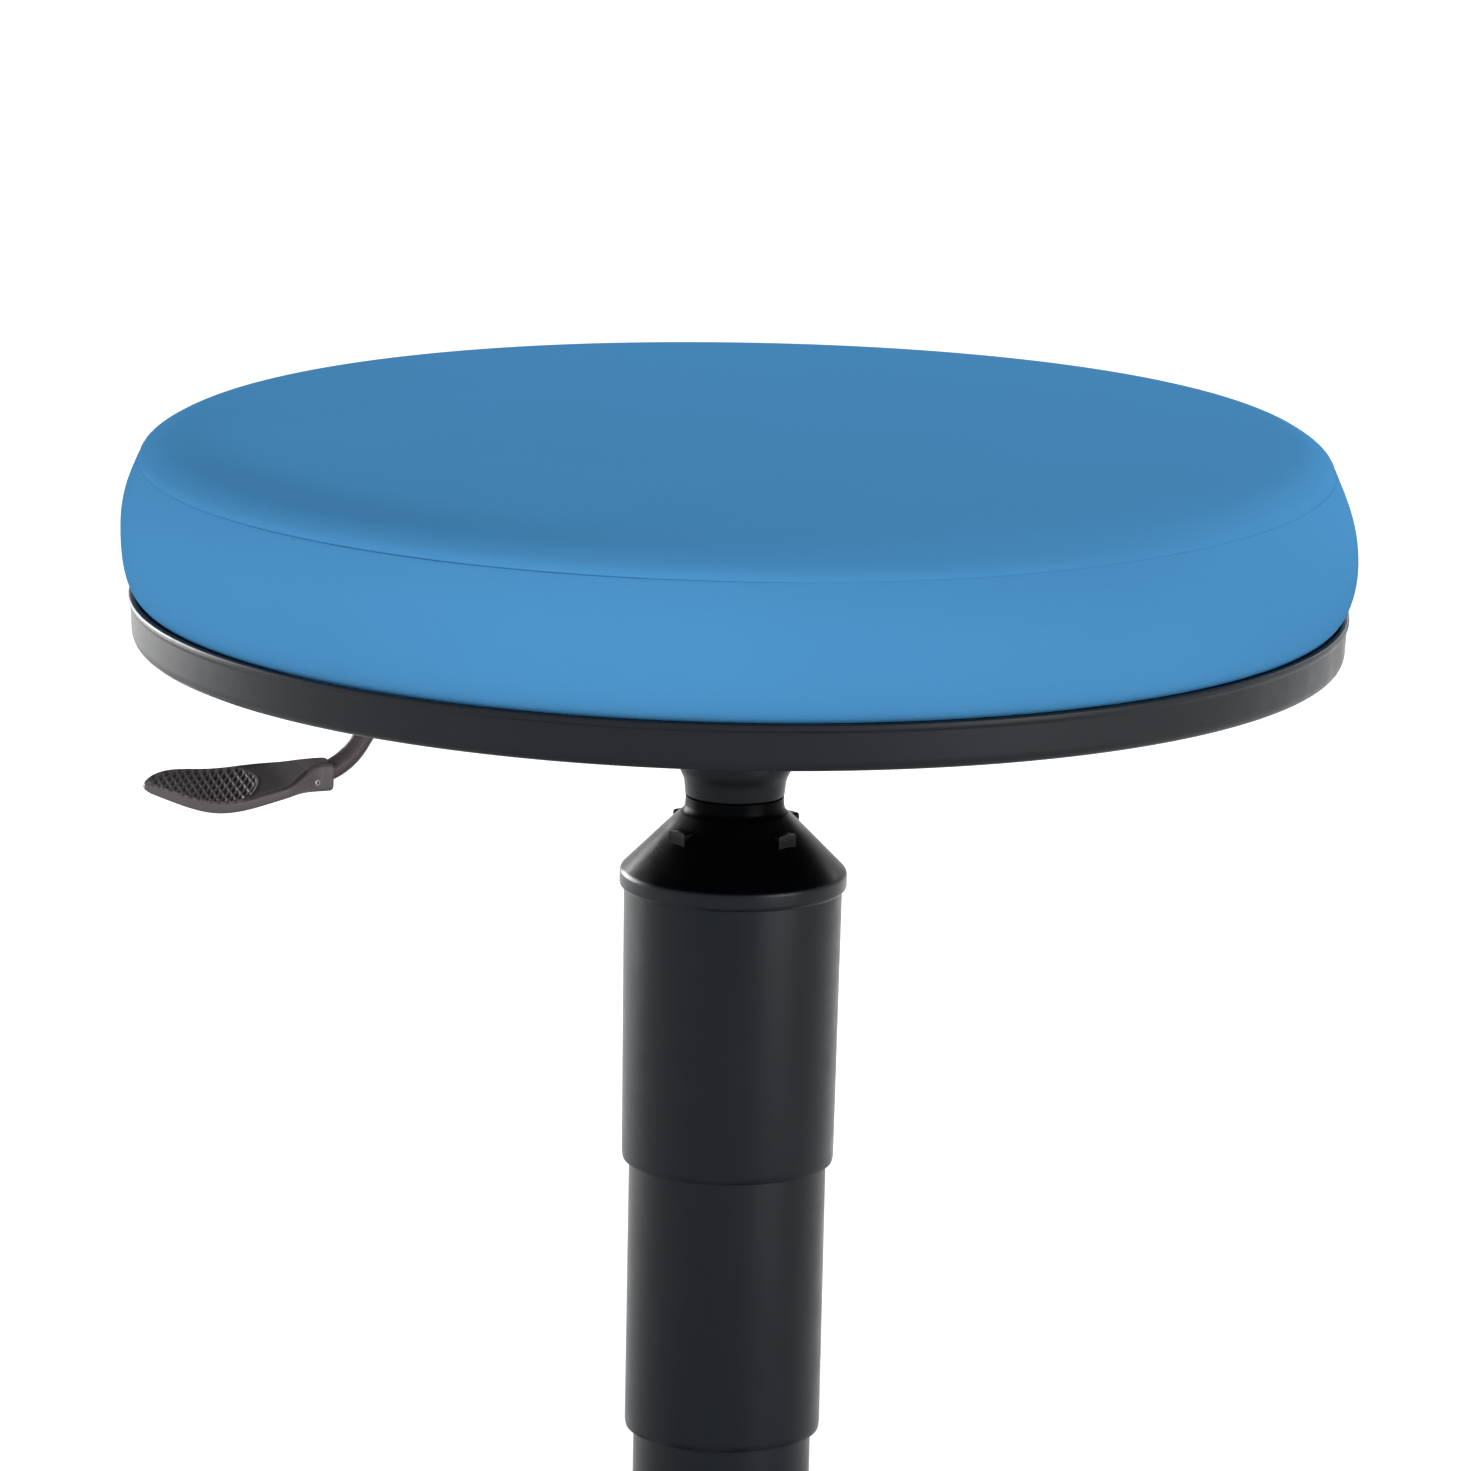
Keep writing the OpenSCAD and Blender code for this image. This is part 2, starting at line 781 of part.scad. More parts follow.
module stand_tube() {
    r = stand_d / 2;
    low = r - taper_drop;
    color(BLACK)
        rotate_extrude()
            polygon([
                [tail_r + run_gap + 0.3, stand_z], [low - 1.5, stand_z], [low, stand_z + 1.5],
                [low, hub_z], [r, hub_top], [r, stand_top - 0.8], [r - 0.8, stand_top],
                [r - stand_t, stand_top], [r - stand_t, hub_top], [low - stand_t, hub_z],
                [low - stand_t, floor_top], [tail_r + run_gap + 0.3, floor_top]
            ]);
}

module guide_bush() {
    outer = stand_d / 2 - stand_t - fit_gap;
    inner = cylinder_d / 2 + run_gap;
    low = stand_top - guide_l;
    narrow = inner + 2.5;
    collar = stand_d / 2 - 0.9;
    color(BLACK)
        rotate_extrude()
            polygon([
                [inner, low], [outer - 1, low], [outer, low + 1], [outer, low + 12],
                [narrow, low + 14], [narrow, stand_top - 20], [outer, stand_top - 18],
                [outer, stand_top + fit_gap], [collar, stand_top + fit_gap],
                [collar, stand_top + 1.2], [inner, stand_top + 1.2]
            ]);
}

// The cap's outer outline from the neck's top to the lip
function cap_outline() =
    let (
        neck_r = cap_neck_d / 2,
        lip_r = cap_lip_d / 2,
        bell_r = neck_r + cap_bell,
        cone_low = [lip_r - 0.6, cap_z + 3.9]
    )
    concat(
        [[neck_r, cap_top]],
        [for (a = [15:15:75])
            [neck_r + cap_bell * (1 - cos(a)), cap_top - 0.8 - cap_bell * sin(a)]],
        [[bell_r, cap_top - 0.8 - cap_bell - 0.4]],
        [cone_low, [lip_r, cap_z + 2.9], [lip_r, cap_z + 1.6], [lip_r - 0.9, cap_z + 0.2]]
    );

module cover_cap() {
    wall = 1.8;
    bore = cylinder_d / 2 + fit_gap;
    tube_r = upper_d / 2 + fit_gap;
    bell_low = cap_top - cap_grip_h;
    cone_top_r = bore + 2.2;
    tab_r = cap_neck_d / 2 + cap_bell;
    color(BLACK)
        difference() {
            union() {
                rotate_extrude()
                    polygon(concat(
                        cap_outline(),
                        [[tube_r, cap_z + 0.2], [tube_r, cap_z + 2.4]],
                        [[tube_r - 1.6, cap_z + 2.4], [cone_top_r, bell_low - wall]],
                        [[bore, bell_low - wall + 1], [bore, cap_top]]
                    ));
                for (a = [0:90:270])
                    rotate([0, 0, a + 45 - 22])
                        translate([tab_r - 6, -3.5, cap_top - cap_bell - 4.4])
                            cube([7, 7, 5]);
            }
            translate([0, 0, cap_z])
                cylinder(bell_low - wall - cap_z, tube_r + 1, cone_top_r - 0.3);
        }
}

// A cover tube: its foot is turned in, its top may carry a catching flange
module cover_tube(foot_z, length, foot_r, draft, flange) {
    top = foot_z + length;
    top_r = foot_r + length * draft;
    inner = foot_r - tube_t;
    round_r = 1.8;
    arc = [for (a = [-90:22.5:0]) [foot_r - round_r + round_r * cos(a), foot_z + round_r * (1 + sin(a))]];
    rotate_extrude()
        polygon(concat(
            [[inner - 0.25, foot_z]],
            arc,
            flange > 0
                ? [[top_r, top - 2.2], [top_r + flange, top - 1.8], [top_r + flange, top]]
                : [[top_r, top]],
            [[top_r - tube_t, top], [inner, foot_z + 1.4], [inner - 0.25, foot_z + 1]]
        ));
}

tube_draft = 0.0095;

module cover_tube_upper() {
    color(BLACK)
        cover_tube(upper_z, upper_l + 2.2, upper_d / 2 - upper_l * tube_draft, tube_draft, 0);
}

module cover_tube_middle() {
    color(BLACK)
        cover_tube(middle_z, middle_show + middle_hidden, middle_d / 2 - 0.2, 0.002, 0.25);
}

module cover_tube_lower() {
    color(BLACK)
        cover_tube(hub_top, lower_l, lower_d / 2, 0, 0.4);
}

// The arm's half width, top and bottom along its length, s from 0 at the hub to 1 at the castor
arm_r0 = 30;
function arm_half_w(s) = arm_root_w / 2 + (arm_tip_w - arm_root_w) / 2 * s;
function arm_top(s) =
    castor_h + arm_tip_h + (arm_root_top - castor_h - arm_tip_h) * pow(1 - s, 1.5);
function arm_bottom(s) = castor_h + (arm_root_z - castor_h) * (1 - s);

// One cross-section of an arm, drawn in by t all round and opened below by open
function arm_section(s, t, open) =
    let (
        w = arm_half_w(s) - t,
        top = arm_top(s) - t,
        low = arm_bottom(s) - open,
        c = 9 - t,
        crown = 1.4,
        x = arm_r0 + s * (castor_r - arm_r0)
    )
        concat(
            [[x, w, low]],
            [for (a = [0:30:90]) [x, w - 1 - c + c * cos(a), top - c - crown + c * sin(a)]],
            [[x, 0, top]],
            [for (a = [90:-30:0]) [x, -(w - 1 - c + c * cos(a)), top - c - crown + c * sin(a)]],
            [[x, -w, low]]
        );

module arm_solid(t, open, from, to) {
    n = 10;
    loft([for (i = [n:-1:0]) arm_section(from + (to - from) * i / n, t, open)]);
}

// The round end of an arm over its castor
module arm_end(t, open) {
    r = arm_tip_w / 2 + 0.8 - t;
    top = castor_h + arm_tip_h - t;
    c = 9 - t;
    translate([castor_r, 0, 0])
        rotate_extrude()
            polygon(concat(
                [[0, castor_h - open], [r, castor_h - open]],
                [for (a = [0:15:90]) [r - 1 - c + c * cos(a), top - c - 1 + c * sin(a)]],
                [[0, top]]
            ));
}

module arm_ribs() {
    length = castor_r - arm_r0;
    translate([arm_r0, -rib_t / 2, castor_h])
        cube([length, rib_t, hub_top - castor_h]);
    for (i = [1:5])
        translate([arm_r0 + length * i / 6, -arm_root_w, castor_h])
            cube([rib_t, 2 * arm_root_w, hub_top - castor_h]);
    translate([castor_r, 0, castor_h])
        cylinder(arm_tip_h, r = stem_d / 2 + 3);
}

module base_arm() {
    difference() {
        union() {
            arm_solid(0, 0, 0, 1);
            arm_end(0, 0);
        }
        difference() {
            union() {
                arm_solid(arm_t, 5, 0.06, 1);
                arm_end(arm_t, 5);
            }
            arm_ribs();
        }
        translate([castor_r, 0, castor_h - 6])
            cylinder(stem_l + 6.5, r = stem_d / 2 + run_gap);
    }
}

module star_base() {
    sleeve_r = stand_d / 2 + sleeve_t + 2 * fit_gap;
    top_r = hub_d / 2;
    color(BLACK)
        difference() {
            union() {
                rotate_extrude()
                    polygon([
                        [0, hub_z], [top_r + 5, hub_z], [top_r + 6, hub_z + 1.5],
                        [top_r + 1, hub_top - 12], [top_r, hub_top - 4],
                        [top_r - 1.2, hub_top - 1.2], [top_r - 4, hub_top], [0, hub_top]
                    ]);
                for (i = [0:ARMS - 1])
                    at_arm(i)
                        base_arm();
            }
            translate([0, 0, hub_z])
                cylinder(hub_h, sleeve_r - taper_drop, sleeve_r);
            translate([0, 0, hub_z - eps])
                cylinder(2 * eps, r = sleeve_r - taper_drop);
            translate([0, 0, hub_top - eps / 2])
                cylinder(2 * eps, r = sleeve_r);
        }
}

module taper_sleeve() {
    inner = stand_d / 2 + fit_gap;
    outer = inner + sleeve_t;
    color(STEEL)
        rotate_extrude()
            polygon([
                [inner - taper_drop, hub_z], [outer - taper_drop, hub_z], [outer, hub_top - 0.6],
                [inner, hub_top - 0.6]
            ]);
}

// A castor's pieces in its own frame: stem on the Z axis, axle along Y at x = trail
module castor_housing() {
    hood_w = 2 * wheel_outer - 2;
    hood_low = 17;
    hood_tilt = 32;
    web_low = 9;
    boss_top = castor_h - 0.3;
    boss_z = axle_z + 24;
    neck_z = axle_z + 14;
    stem_floor = axle_z + 12;
    far = 4 * hood_r;
    module about_axle(r, w) {
        translate([trail, 0, axle_z])
            rotate([90, 0, 0])
                cylinder(w, r = r, center = true);
    }
    color(BLACK)
        difference() {
            union() {
                intersection() {
                    about_axle(hood_r + 0.5, web_t);
                    translate([-far, -web_t / 2, web_low])
                        cube([2 * far, web_t, far]);
                }
                difference() {
                    about_axle(hood_r + hood_t, hood_w);
                    about_axle(hood_r, hood_w + 2 * eps);
                    translate([trail, -far, -10])
                        rotate([0, hood_tilt, 0])
                            translate([0, 0, -far])
                                cube([far, 2 * far, 3 * far]);
                    translate([-far, -far, hood_low - far])
                        cube([2 * far, 2 * far, far]);
                }
                intersection() {
                    translate([0, 0, neck_z])
                        cylinder(boss_top - neck_z, r = boss_r);
                    translate([-far, -web_t / 2, 0])
                        cube([2 * far, web_t, far]);
                }
                translate([0, 0, boss_z])
                    cylinder(boss_top - boss_z, r = boss_r);
            }
            translate([0, 0, stem_floor])
                cylinder(castor_h, r = stem_low_r + fit_gap);
            about_axle(axle_r + fit_gap, 2 * far);
        }
}

module castor_stem() {
    grip_ring_z = castor_h + stem_l - 7;
    color(STEEL) {
        difference() {
            union() {
                translate([0, 0, axle_z + 13])
                    cylinder(castor_h - axle_z - 12, r = stem_low_r);
                translate([0, 0, castor_h])
                    cylinder(stem_l - 1, r = stem_d / 2 - run_gap);
                translate([0, 0, castor_h + stem_l - 1])
                    cylinder(1, stem_d / 2 - run_gap, stem_d / 2 - 1);
            }
            ring(grip_ring_z, 3, stem_d, stem_d / 2 - 1.2);
        }
        difference() {
            ring(grip_ring_z + 0.2, 2.6, stem_d / 2, stem_d / 2 - 1.1);
            translate([0, -0.8, grip_ring_z - 1])
                cube([20, 1.6, 6]);
        }
    }
}

module castor_axle() {
    color(STEEL)
        translate([trail, 0, axle_z])
            rotate([90, 0, 0])
                cylinder(2 * (wheel_outer - axle_cover - 0.3), r = axle_r, center = true);
}

// side is 1 for the wheel on +Y and -1 for the one on -Y
module castor_wheel(side) {
    r = wheel_r;
    tread_t = 3;
    core_r = r - tread_t;
    w = wheel_w;
    place = [trail, side * wheel_inner, axle_z];
    translate(place)
        rotate([side > 0 ? -90 : 90, 0, 0]) {
            color(BLACK)
                rotate_extrude()
                    polygon([
                        [axle_r + run_gap, 0], [8, 0], [8, w - 5], [core_r - 3, w - 6],
                        [core_r - 3, 1], [core_r, 1], [core_r, w - 1.5], [core_r - 3, w - 0.4],
                        [core_r - 5, w - 2.2], [9, w - 1.4], [7, w], [0, w],
                        [0, w - axle_cover], [axle_r + run_gap, w - axle_cover]
                    ]);
            color(TREAD)
                rotate_extrude()
                    polygon([
                        [core_r, 1.2], [r - 1.6, 1.2], [r - 0.4, 2], [r, 3.4], [r, w - 4.6],
                        [r - 0.4, w - 3.2], [r - 1.6, w - 2.4], [core_r, w - 2.4]
                    ]);
        }
}

cover_top_panel();
cover_side_band();
foam_pad();
seat_board();
tee_nuts();
cover_staples();
seat_tray();
seat_plate();
taper_socket();
plate_bolts();
lever_bracket();
lever_trunnion();
lever_rod();
lever_grip();
grip_screw();
pressure_cylinder();
valve_block();
valve_pin();
rod_guide();
piston();
piston_rod();
rod_bumper();
bearing_upper_race();
bearing_balls();
bearing_cage();
bearing_lower_race();
retaining_clip();
stand_tube();
guide_bush();
cover_cap();
cover_tube_upper();
cover_tube_middle();
cover_tube_lower();
star_base();
taper_sleeve();
for (i = [1:ARMS]) {
    at_castor(i - 1) castor_housing();
    at_castor(i - 1) castor_stem();
    at_castor(i - 1) castor_axle();
    at_castor(i - 1) castor_wheel(1);
    at_castor(i - 1) castor_wheel(-1);
}
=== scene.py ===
"""Looks of a height-adjustable lab stool, laid out as a Blender add-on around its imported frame."""

import math

import bmesh
import bpy
import numpy as np
from bpy.props import FloatProperty, FloatVectorProperty, IntProperty, PointerProperty
from mathutils import Matrix, Vector


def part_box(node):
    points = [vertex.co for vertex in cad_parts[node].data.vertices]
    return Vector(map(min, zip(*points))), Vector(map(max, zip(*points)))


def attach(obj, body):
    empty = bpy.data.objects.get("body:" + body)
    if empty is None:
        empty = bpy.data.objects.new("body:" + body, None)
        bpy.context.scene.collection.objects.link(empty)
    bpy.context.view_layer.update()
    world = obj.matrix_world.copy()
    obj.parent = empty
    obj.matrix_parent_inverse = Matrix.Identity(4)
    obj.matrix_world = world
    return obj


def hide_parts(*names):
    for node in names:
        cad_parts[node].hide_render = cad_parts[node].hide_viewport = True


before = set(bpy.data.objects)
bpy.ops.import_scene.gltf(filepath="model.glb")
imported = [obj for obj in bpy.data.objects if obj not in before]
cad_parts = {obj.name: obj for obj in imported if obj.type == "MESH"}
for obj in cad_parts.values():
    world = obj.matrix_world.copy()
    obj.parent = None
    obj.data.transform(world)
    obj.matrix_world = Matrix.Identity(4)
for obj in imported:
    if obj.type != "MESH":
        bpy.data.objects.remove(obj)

bl_info = {
    "name": "Lab stool",
    "version": (1, 0, 0),
    "blender": (4, 5, 0),
    "location": "3D View > Sidebar > Stool",
    "description": "Upholstery, column cover, lever, base and castors of a lab stool",
    "category": "Add Mesh",
}

MM = 0.001
TURN = 2 * np.pi
TRAY_LOW, TRAY_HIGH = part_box("seat_tray")
BAND_LOW, BAND_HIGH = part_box("cover_side_band")
PANEL_LOW, PANEL_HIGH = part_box("cover_top_panel")
BOARD_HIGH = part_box("seat_board")[1]
CAP_LOW, CAP_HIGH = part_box("cover_cap")
SOCKET_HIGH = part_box("taper_socket")[1]
GRIP_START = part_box("lever_grip")[1].x - 0.4 * MM
BASE_LOW, BASE_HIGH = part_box("star_base")
CASTORS = 5
TRAIL, AXLE_HEIGHT = 21 * MM, 25 * MM  # a castor's axle beside its stem and over the floor
TOUCHING = 2e-6  # points of one part that are closer than this are merged

# The photograph's camera in degrees, and its focal length, the scale at the column, the picture's
# height, its middle and the place of the tray's foot in it, all in pixels.
CAMERA_TURN, CAMERA_RISE, CAMERA_ROLL = -20, 11.68, 1.2
FOCUS_PX, PX_PER_MM, PICTURE_PX = 8000, 3.245, 1471
MIDDLE_PX, SEAT_PX = (735.0, 735.5), (738.1, 641.1)


def length(label, text, value):
    """A size in metres that the sidebar shows."""
    return FloatProperty(name=label, description=text, default=value, unit="LENGTH", precision=4)


def colour(label, text, value):
    """A colour, in linear light, that the sidebar shows."""
    return FloatVectorProperty(
        name=label, description=text, default=value, size=3, min=0, max=1, subtype="COLOR"
    )


class StoolSeat(bpy.types.PropertyGroup):
    """Sizes of the upholstered pad and its tray."""

    radius: length("Pad radius", "Radius of the pad at its widest point", BAND_HIGH.x)
    seam_radius: length("Seam radius", "Radius of the sewn seam", BAND_HIGH.x - 5.2 * MM)
    seam_height: length("Seam height", "Height of the seam", PANEL_LOW.z)
    crown_height: length("Crown height", "Height of the pad's centre", PANEL_HIGH.z - 0.6 * MM)
    crown: length("Crown", "Rise of the pad from its rounded edge to its centre", 1.8 * MM)
    lean: length("Lean", "How much fuller the pad is on its right than in its middle", 2.4 * MM)
    slack: length("Slack", "How much the pad's upper edge is drawn in at its right", 3.2 * MM)
    tuck: length("Seam tuck", "How far both panels turn in at the seam", 1.7 * MM)
    cover: length("Cover thickness", "Thickness of the vinyl", 1.2 * MM)
    pucker: length("Pucker depth", "Depth of the small gathers beside the seam", 0.16 * MM)
    valley: length("Edge valley", "Depth of the soft valley inside the edge", 0.5 * MM)
    tray_radius: length("Tray radius", "Radius of the tray at its rim", TRAY_HIGH.x + 1 * MM)
    tray_foot: length("Tray foot", "Radius of the tray's lower corner", TRAY_HIGH.x - 0.2 * MM)


class StoolColumn(bpy.types.PropertyGroup):
    """Sizes of the telescopic cover."""

    wall: length("Tube wall", "Wall of the cover's tubes", 1.6 * MM)
    upper: length("Upper tube", "Radius of its top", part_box("cover_tube_upper")[1].x)
    middle: length("Middle tube", "Radius of the middle tube at its foot", 30.6 * MM)
    lower: length("Lower tube", "Radius of the lower tube", 27.8 * MM)
    lip_radius: length("Cap lip", "Radius of the cap's lip", CAP_HIGH.x)
    neck_radius: length("Cap neck", "Radius of the cap's neck", 15.5 * MM)
    collar: length("Cap collar", "Height of the cap's neck over its cone", 5.6 * MM)


class StoolLever(bpy.types.PropertyGroup):
    """Sizes of the height lever."""

    rod: length("Rod diameter", "Diameter of the bent rod", 6.4 * MM)
    length: length("Grip length", "Length of the grip", 58.4 * MM)
    width: length("Grip width", "Greatest width of the grip", 27 * MM)
    thickness: length("Blade thickness", "Thickness of the grip's blade", 3.7 * MM)
    knurl: length("Knurl pitch", "Distance between the crossing ridges along the grip", 2.6 * MM)
    knurl_depth: length("Knurl depth", "Height of the crossing ridges", 0.45 * MM)


class StoolBase(bpy.types.PropertyGroup):
    """Sizes of the five-armed base and its castors."""

    reach: length("Castor distance", "Distance of the castor stems from the column", 270 * MM)
    root_width: length("Arm root", "Width of an arm where it leaves the hub", 48 * MM)
    tip_width: length("Arm tip", "Width of an arm over its castor", 36 * MM)
    wall: length("Arm wall", "Wall of the arms", 3.6 * MM)
    wheel_radius: length("Wheel radius", "Radius of the castor wheels", 25 * MM)
    wheel_width: length("Wheel width", "Width of one wheel", 17 * MM)
    ribs: IntProperty(name="Cross ribs", description="Ribs across an arm", default=5, min=2, max=8)


class StoolFinish(bpy.types.PropertyGroup):
    """Colours of the finishes."""

    vinyl: colour("Vinyl", "Seat cover", (0.0745, 0.289, 0.573))
    tray: colour("Tray", "Satin plastic of the tray", (0.0045, 0.006, 0.009))
    tube: colour("Cover tubes", "Plastic of the telescopic cover", (0.004, 0.006, 0.009))
    # The cap colour is darker than the tubes' as painted shade on the cap's cone; it also colours
    # the black gas spring.
    cap: colour("Cap", "Plastic of the conical cap", (0.0008, 0.0009, 0.0012))
    grip: colour("Grip", "Plastic of the lever's grip", (0.102, 0.087, 0.090))
    rod: colour("Lever rod", "Painted steel of the lever", (0.058, 0.048, 0.050))
    steel: colour("Black steel", "Painted steel of the plate and socket", (0.006, 0.007, 0.009))
    base: colour("Base", "Plastic of the base", (0.014, 0.015, 0.017))
    tread: colour("Tread", "Soft tread of the wheels", (0.060, 0.062, 0.066))


GROUPS = {
    "stool_seat": StoolSeat,
    "stool_column": StoolColumn,
    "stool_lever": StoolLever,
    "stool_base": StoolBase,
    "stool_finish": StoolFinish,
}


# Numbers


def mm(*values):
    """Millimetres as metres."""
    return np.array(values) * MM


def stacked(*columns):
    """Points from their coordinates, which are numbers or arrays of any sizes that fit."""
    return np.stack(np.broadcast_arrays(*columns), -1)


def full_turn(count):
    """Even angles of a full turn, without its last."""
    return np.linspace(0, TURN, count, endpoint=False)


def ramp(t):
    """Rises straight from 0 to 1 as t does."""
    return np.clip(t, 0, 1)


def ease(t):
    """Rises from 0 to 1 as 0.5 - 0.5 cos(pi t)."""
    return 0.5 - 0.5 * np.cos(np.pi * ramp(t))


def bell(distance, width):
    """1 at no distance, falling as exp(-(distance / width)^2)."""
    return np.exp(-((distance / width) ** 2))


def polar(grid):
    """The angle of each point about the Z axis and its distance from that axis."""
    return np.arctan2(grid[..., 1], grid[..., 0]), np.hypot(grid[..., 0], grid[..., 1])


def about_z(degrees):
    """The matrix of a turn about the Z axis."""
    return Matrix.Rotation(math.radians(degrees), 4, "Z")


# Surfaces


def bezier(a, b, c, d, steps):
    """Points s^3 a + 3 s^2 t b + 3 s t^2 c + t^3 d, s = 1 - t, for even steps of t from 0 to 1."""
    t = np.linspace(0, 1, steps + 1)[:, None]
    s = 1 - t
    return s**3 * a + 3 * s * s * t * b + 3 * s * t * t * c + t**3 * d


def softened(corners, cuts, steps):
    """A closed outline with round corners: corner P becomes (1-t)^2 A + 2t(1-t) P + t^2 B, with A
    and B on P's two sides at the cut from P."""
    p = np.asarray(corners, float)
    back, on = np.roll(p, 1, 0) - p, np.roll(p, -1, 0) - p
    cut = np.broadcast_to(np.asarray(cuts, float), len(p))[:, None]
    a = p + back / np.linalg.norm(back, axis=1)[:, None] * cut
    b = p + on / np.linalg.norm(on, axis=1)[:, None] * cut
    t = np.linspace(0, 1, steps + 1)[None, :, None]
    corner = (1 - t) ** 2 * a[:, None] + 2 * t * (1 - t) * p[:, None] + t * t * b[:, None]
    return corner.reshape(-1, 2)


def moved_aside(path, distance):
    """A flat path moved to its left: p + distance * n, where n is the direction between the two
    neighbouring points, turned a quarter."""
    d = np.gradient(path, axis=0)
    n = stacked(-d[:, 1], d[:, 0]) / np.linalg.norm(d, axis=1)[:, None]
    return path + distance * n


def turned(profile, count):
    """Surface of revolution: (r, z) goes to (r cos a, r sin a, z), for even angles a."""
    a = full_turn(count)
    r, z = np.asarray(profile)[:, :1], np.asarray(profile)[:, 1:]
    return stacked(r * np.cos(a), r * np.sin(a), z)


def quads(rows, columns, wrap_rows, wrap_columns):
    """Corner numbers of the faces between a grid's neighbouring rows and columns."""
    r, c = np.meshgrid(
        np.arange(rows - (not wrap_rows)), np.arange(columns - (not wrap_columns)), indexing="ij"
    )
    r1, c1 = (r + 1) % rows, (c + 1) % columns
    corners = [r * columns + c, r * columns + c1, r1 * columns + c1, r1 * columns + c]
    return np.stack(corners, -1).reshape(-1, 4)


def sheet_with_wall(outer, inner, edges, wrap_columns=False):
    """Points and faces of a wall between two grids of one size: the outer faces, the inner faces
    turned round, and a strip along each named edge."""
    rows, columns = outer.shape[:2]
    total = rows * columns
    face = quads(rows, columns, False, wrap_columns)
    number = np.arange(total).reshape(rows, columns)
    lines = {"first_row": number[0], "last_row": number[-1][::-1]}
    lines |= {"first_column": number[::-1, 0], "last_column": number[:, -1]}
    faces = [face, face[:, ::-1] + total]
    for edge in edges:
        line = lines[edge]
        line = np.append(line, line[0]) if wrap_columns else line
        faces.append(np.stack([line[1:], line[:-1], line[:-1] + total, line[1:] + total], 1))
    return np.concatenate([outer.reshape(-1, 3), inner.reshape(-1, 3)]), np.concatenate(faces)


def closed_ring(grid):
    """A grid's points and faces, closed along its columns and rows."""
    return grid.reshape(-1, 3), quads(*grid.shape[:2], True, True)


def closed_tube(grid):
    """A grid's points and faces, closed along its columns, with poles for its ends."""
    return grid.reshape(-1, 3), quads(*grid.shape[:2], False, True)


def capped_tube(grid):
    """The same with one more row at each end, all in the middle of that end's row."""
    ends = [np.broadcast_to(row.mean(0), row.shape)[None] for row in (grid[0], grid[-1])]
    return closed_tube(np.concatenate([ends[0], grid, ends[1]]))


def bar(xs, outline):
    """A bar along X: every point (y, z) of the outline is repeated at each x. The outline may have
    one row for all or one for each x."""
    outline = np.asarray(outline, float)
    return capped_tube(stacked(np.asarray(xs)[:, None], outline[..., 0], outline[..., 1]))


def swept(path, radius, count):
    """A round tube along a path in the XZ plane: p + radius * (cos a * n + sin a * Y), where n is
    the path's direction turned a quarter."""
    d = np.gradient(path, axis=0)
    d /= np.linalg.norm(d, axis=1)[:, None]
    n = stacked(-d[:, 2], 0, d[:, 0])[:, None]
    a = full_turn(count)[:, None]
    return capped_tube(path[:, None] + radius * (np.cos(a) * n + np.sin(a) * [0, 1, 0]))


def spun_ring(corners, cuts, steps, count, low=0.0):
    """A ring about the Z axis: an outline in millimetres with round corners, spun at a height."""
    return closed_ring(turned(softened(corners, cuts, steps) * MM + [0, low], count))


def placed(part, matrix):
    """The part's points moved by a 4 x 4 matrix."""
    m = np.array(matrix, float)
    return part[0] @ m[:3, :3].T + m[:3, 3], part[1]


def plain_mesh(name, points, faces):
    """A mesh of these points and faces."""
    mesh = bpy.data.meshes.new(name)
    mesh.from_pydata(points.reshape(-1, 3).tolist(), [], faces.tolist())
    return mesh


def mesh_of(name, parts, sharp):
    """One mesh of closed parts. Points that coincide in a part are merged, which closes seams and
    poles, a part that is inside out is turned, and edges over the sharp angle stay sharp."""
    bm = bmesh.new()
    for points, faces in parts:
        part = plain_mesh("part", points, faces)
        one = bmesh.new()
        one.from_mesh(part)
        bmesh.ops.remove_doubles(one, verts=one.verts, dist=TOUCHING)
        if one.calc_volume(signed=True) < 0:
            bmesh.ops.reverse_faces(one, faces=one.faces)
        one.to_mesh(part)
        one.free()
        bm.from_mesh(part)
        bpy.data.meshes.remove(part)
    mesh = bpy.data.meshes.new(name)
    bm.to_mesh(mesh)
    bm.free()
    mesh.polygons.foreach_set("use_smooth", np.ones(len(mesh.polygons), bool))
    mesh.set_sharp_from_angle(angle=math.radians(sharp))
    return mesh


def piece(name, parts, slot, body, nodes=(), sharp=34, finish=None):
    """Puts a finished mesh in the scene: the finish of its slot, or another finish if one is named,
    the body that it rides on, the CAD nodes that it stands for, which are hidden, and its sharp
    angle."""
    obj = bpy.data.objects.new(name, mesh_of(name, parts, sharp))
    bpy.context.scene.collection.objects.link(obj)
    finish = finish or slot
    obj.data.materials.append(FINISHES[finish](finish))
    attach(obj, body)
    if nodes:
        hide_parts(*nodes)
    return obj


def vertex_data(obj, key="co"):
    """The points of an object's mesh, or their normals, one a row."""
    data = np.empty(len(obj.data.vertices) * 3, np.float32)
    obj.data.vertices.foreach_get(key, data)
    return data.reshape(-1, 3)


def marked(obj, name, values):
    """Gives each point of a piece a number that its finish reads."""
    data = obj.data.attributes.new(name, "FLOAT", "POINT").data
    data.foreach_set("value", values.astype(np.float32))


# Finishes


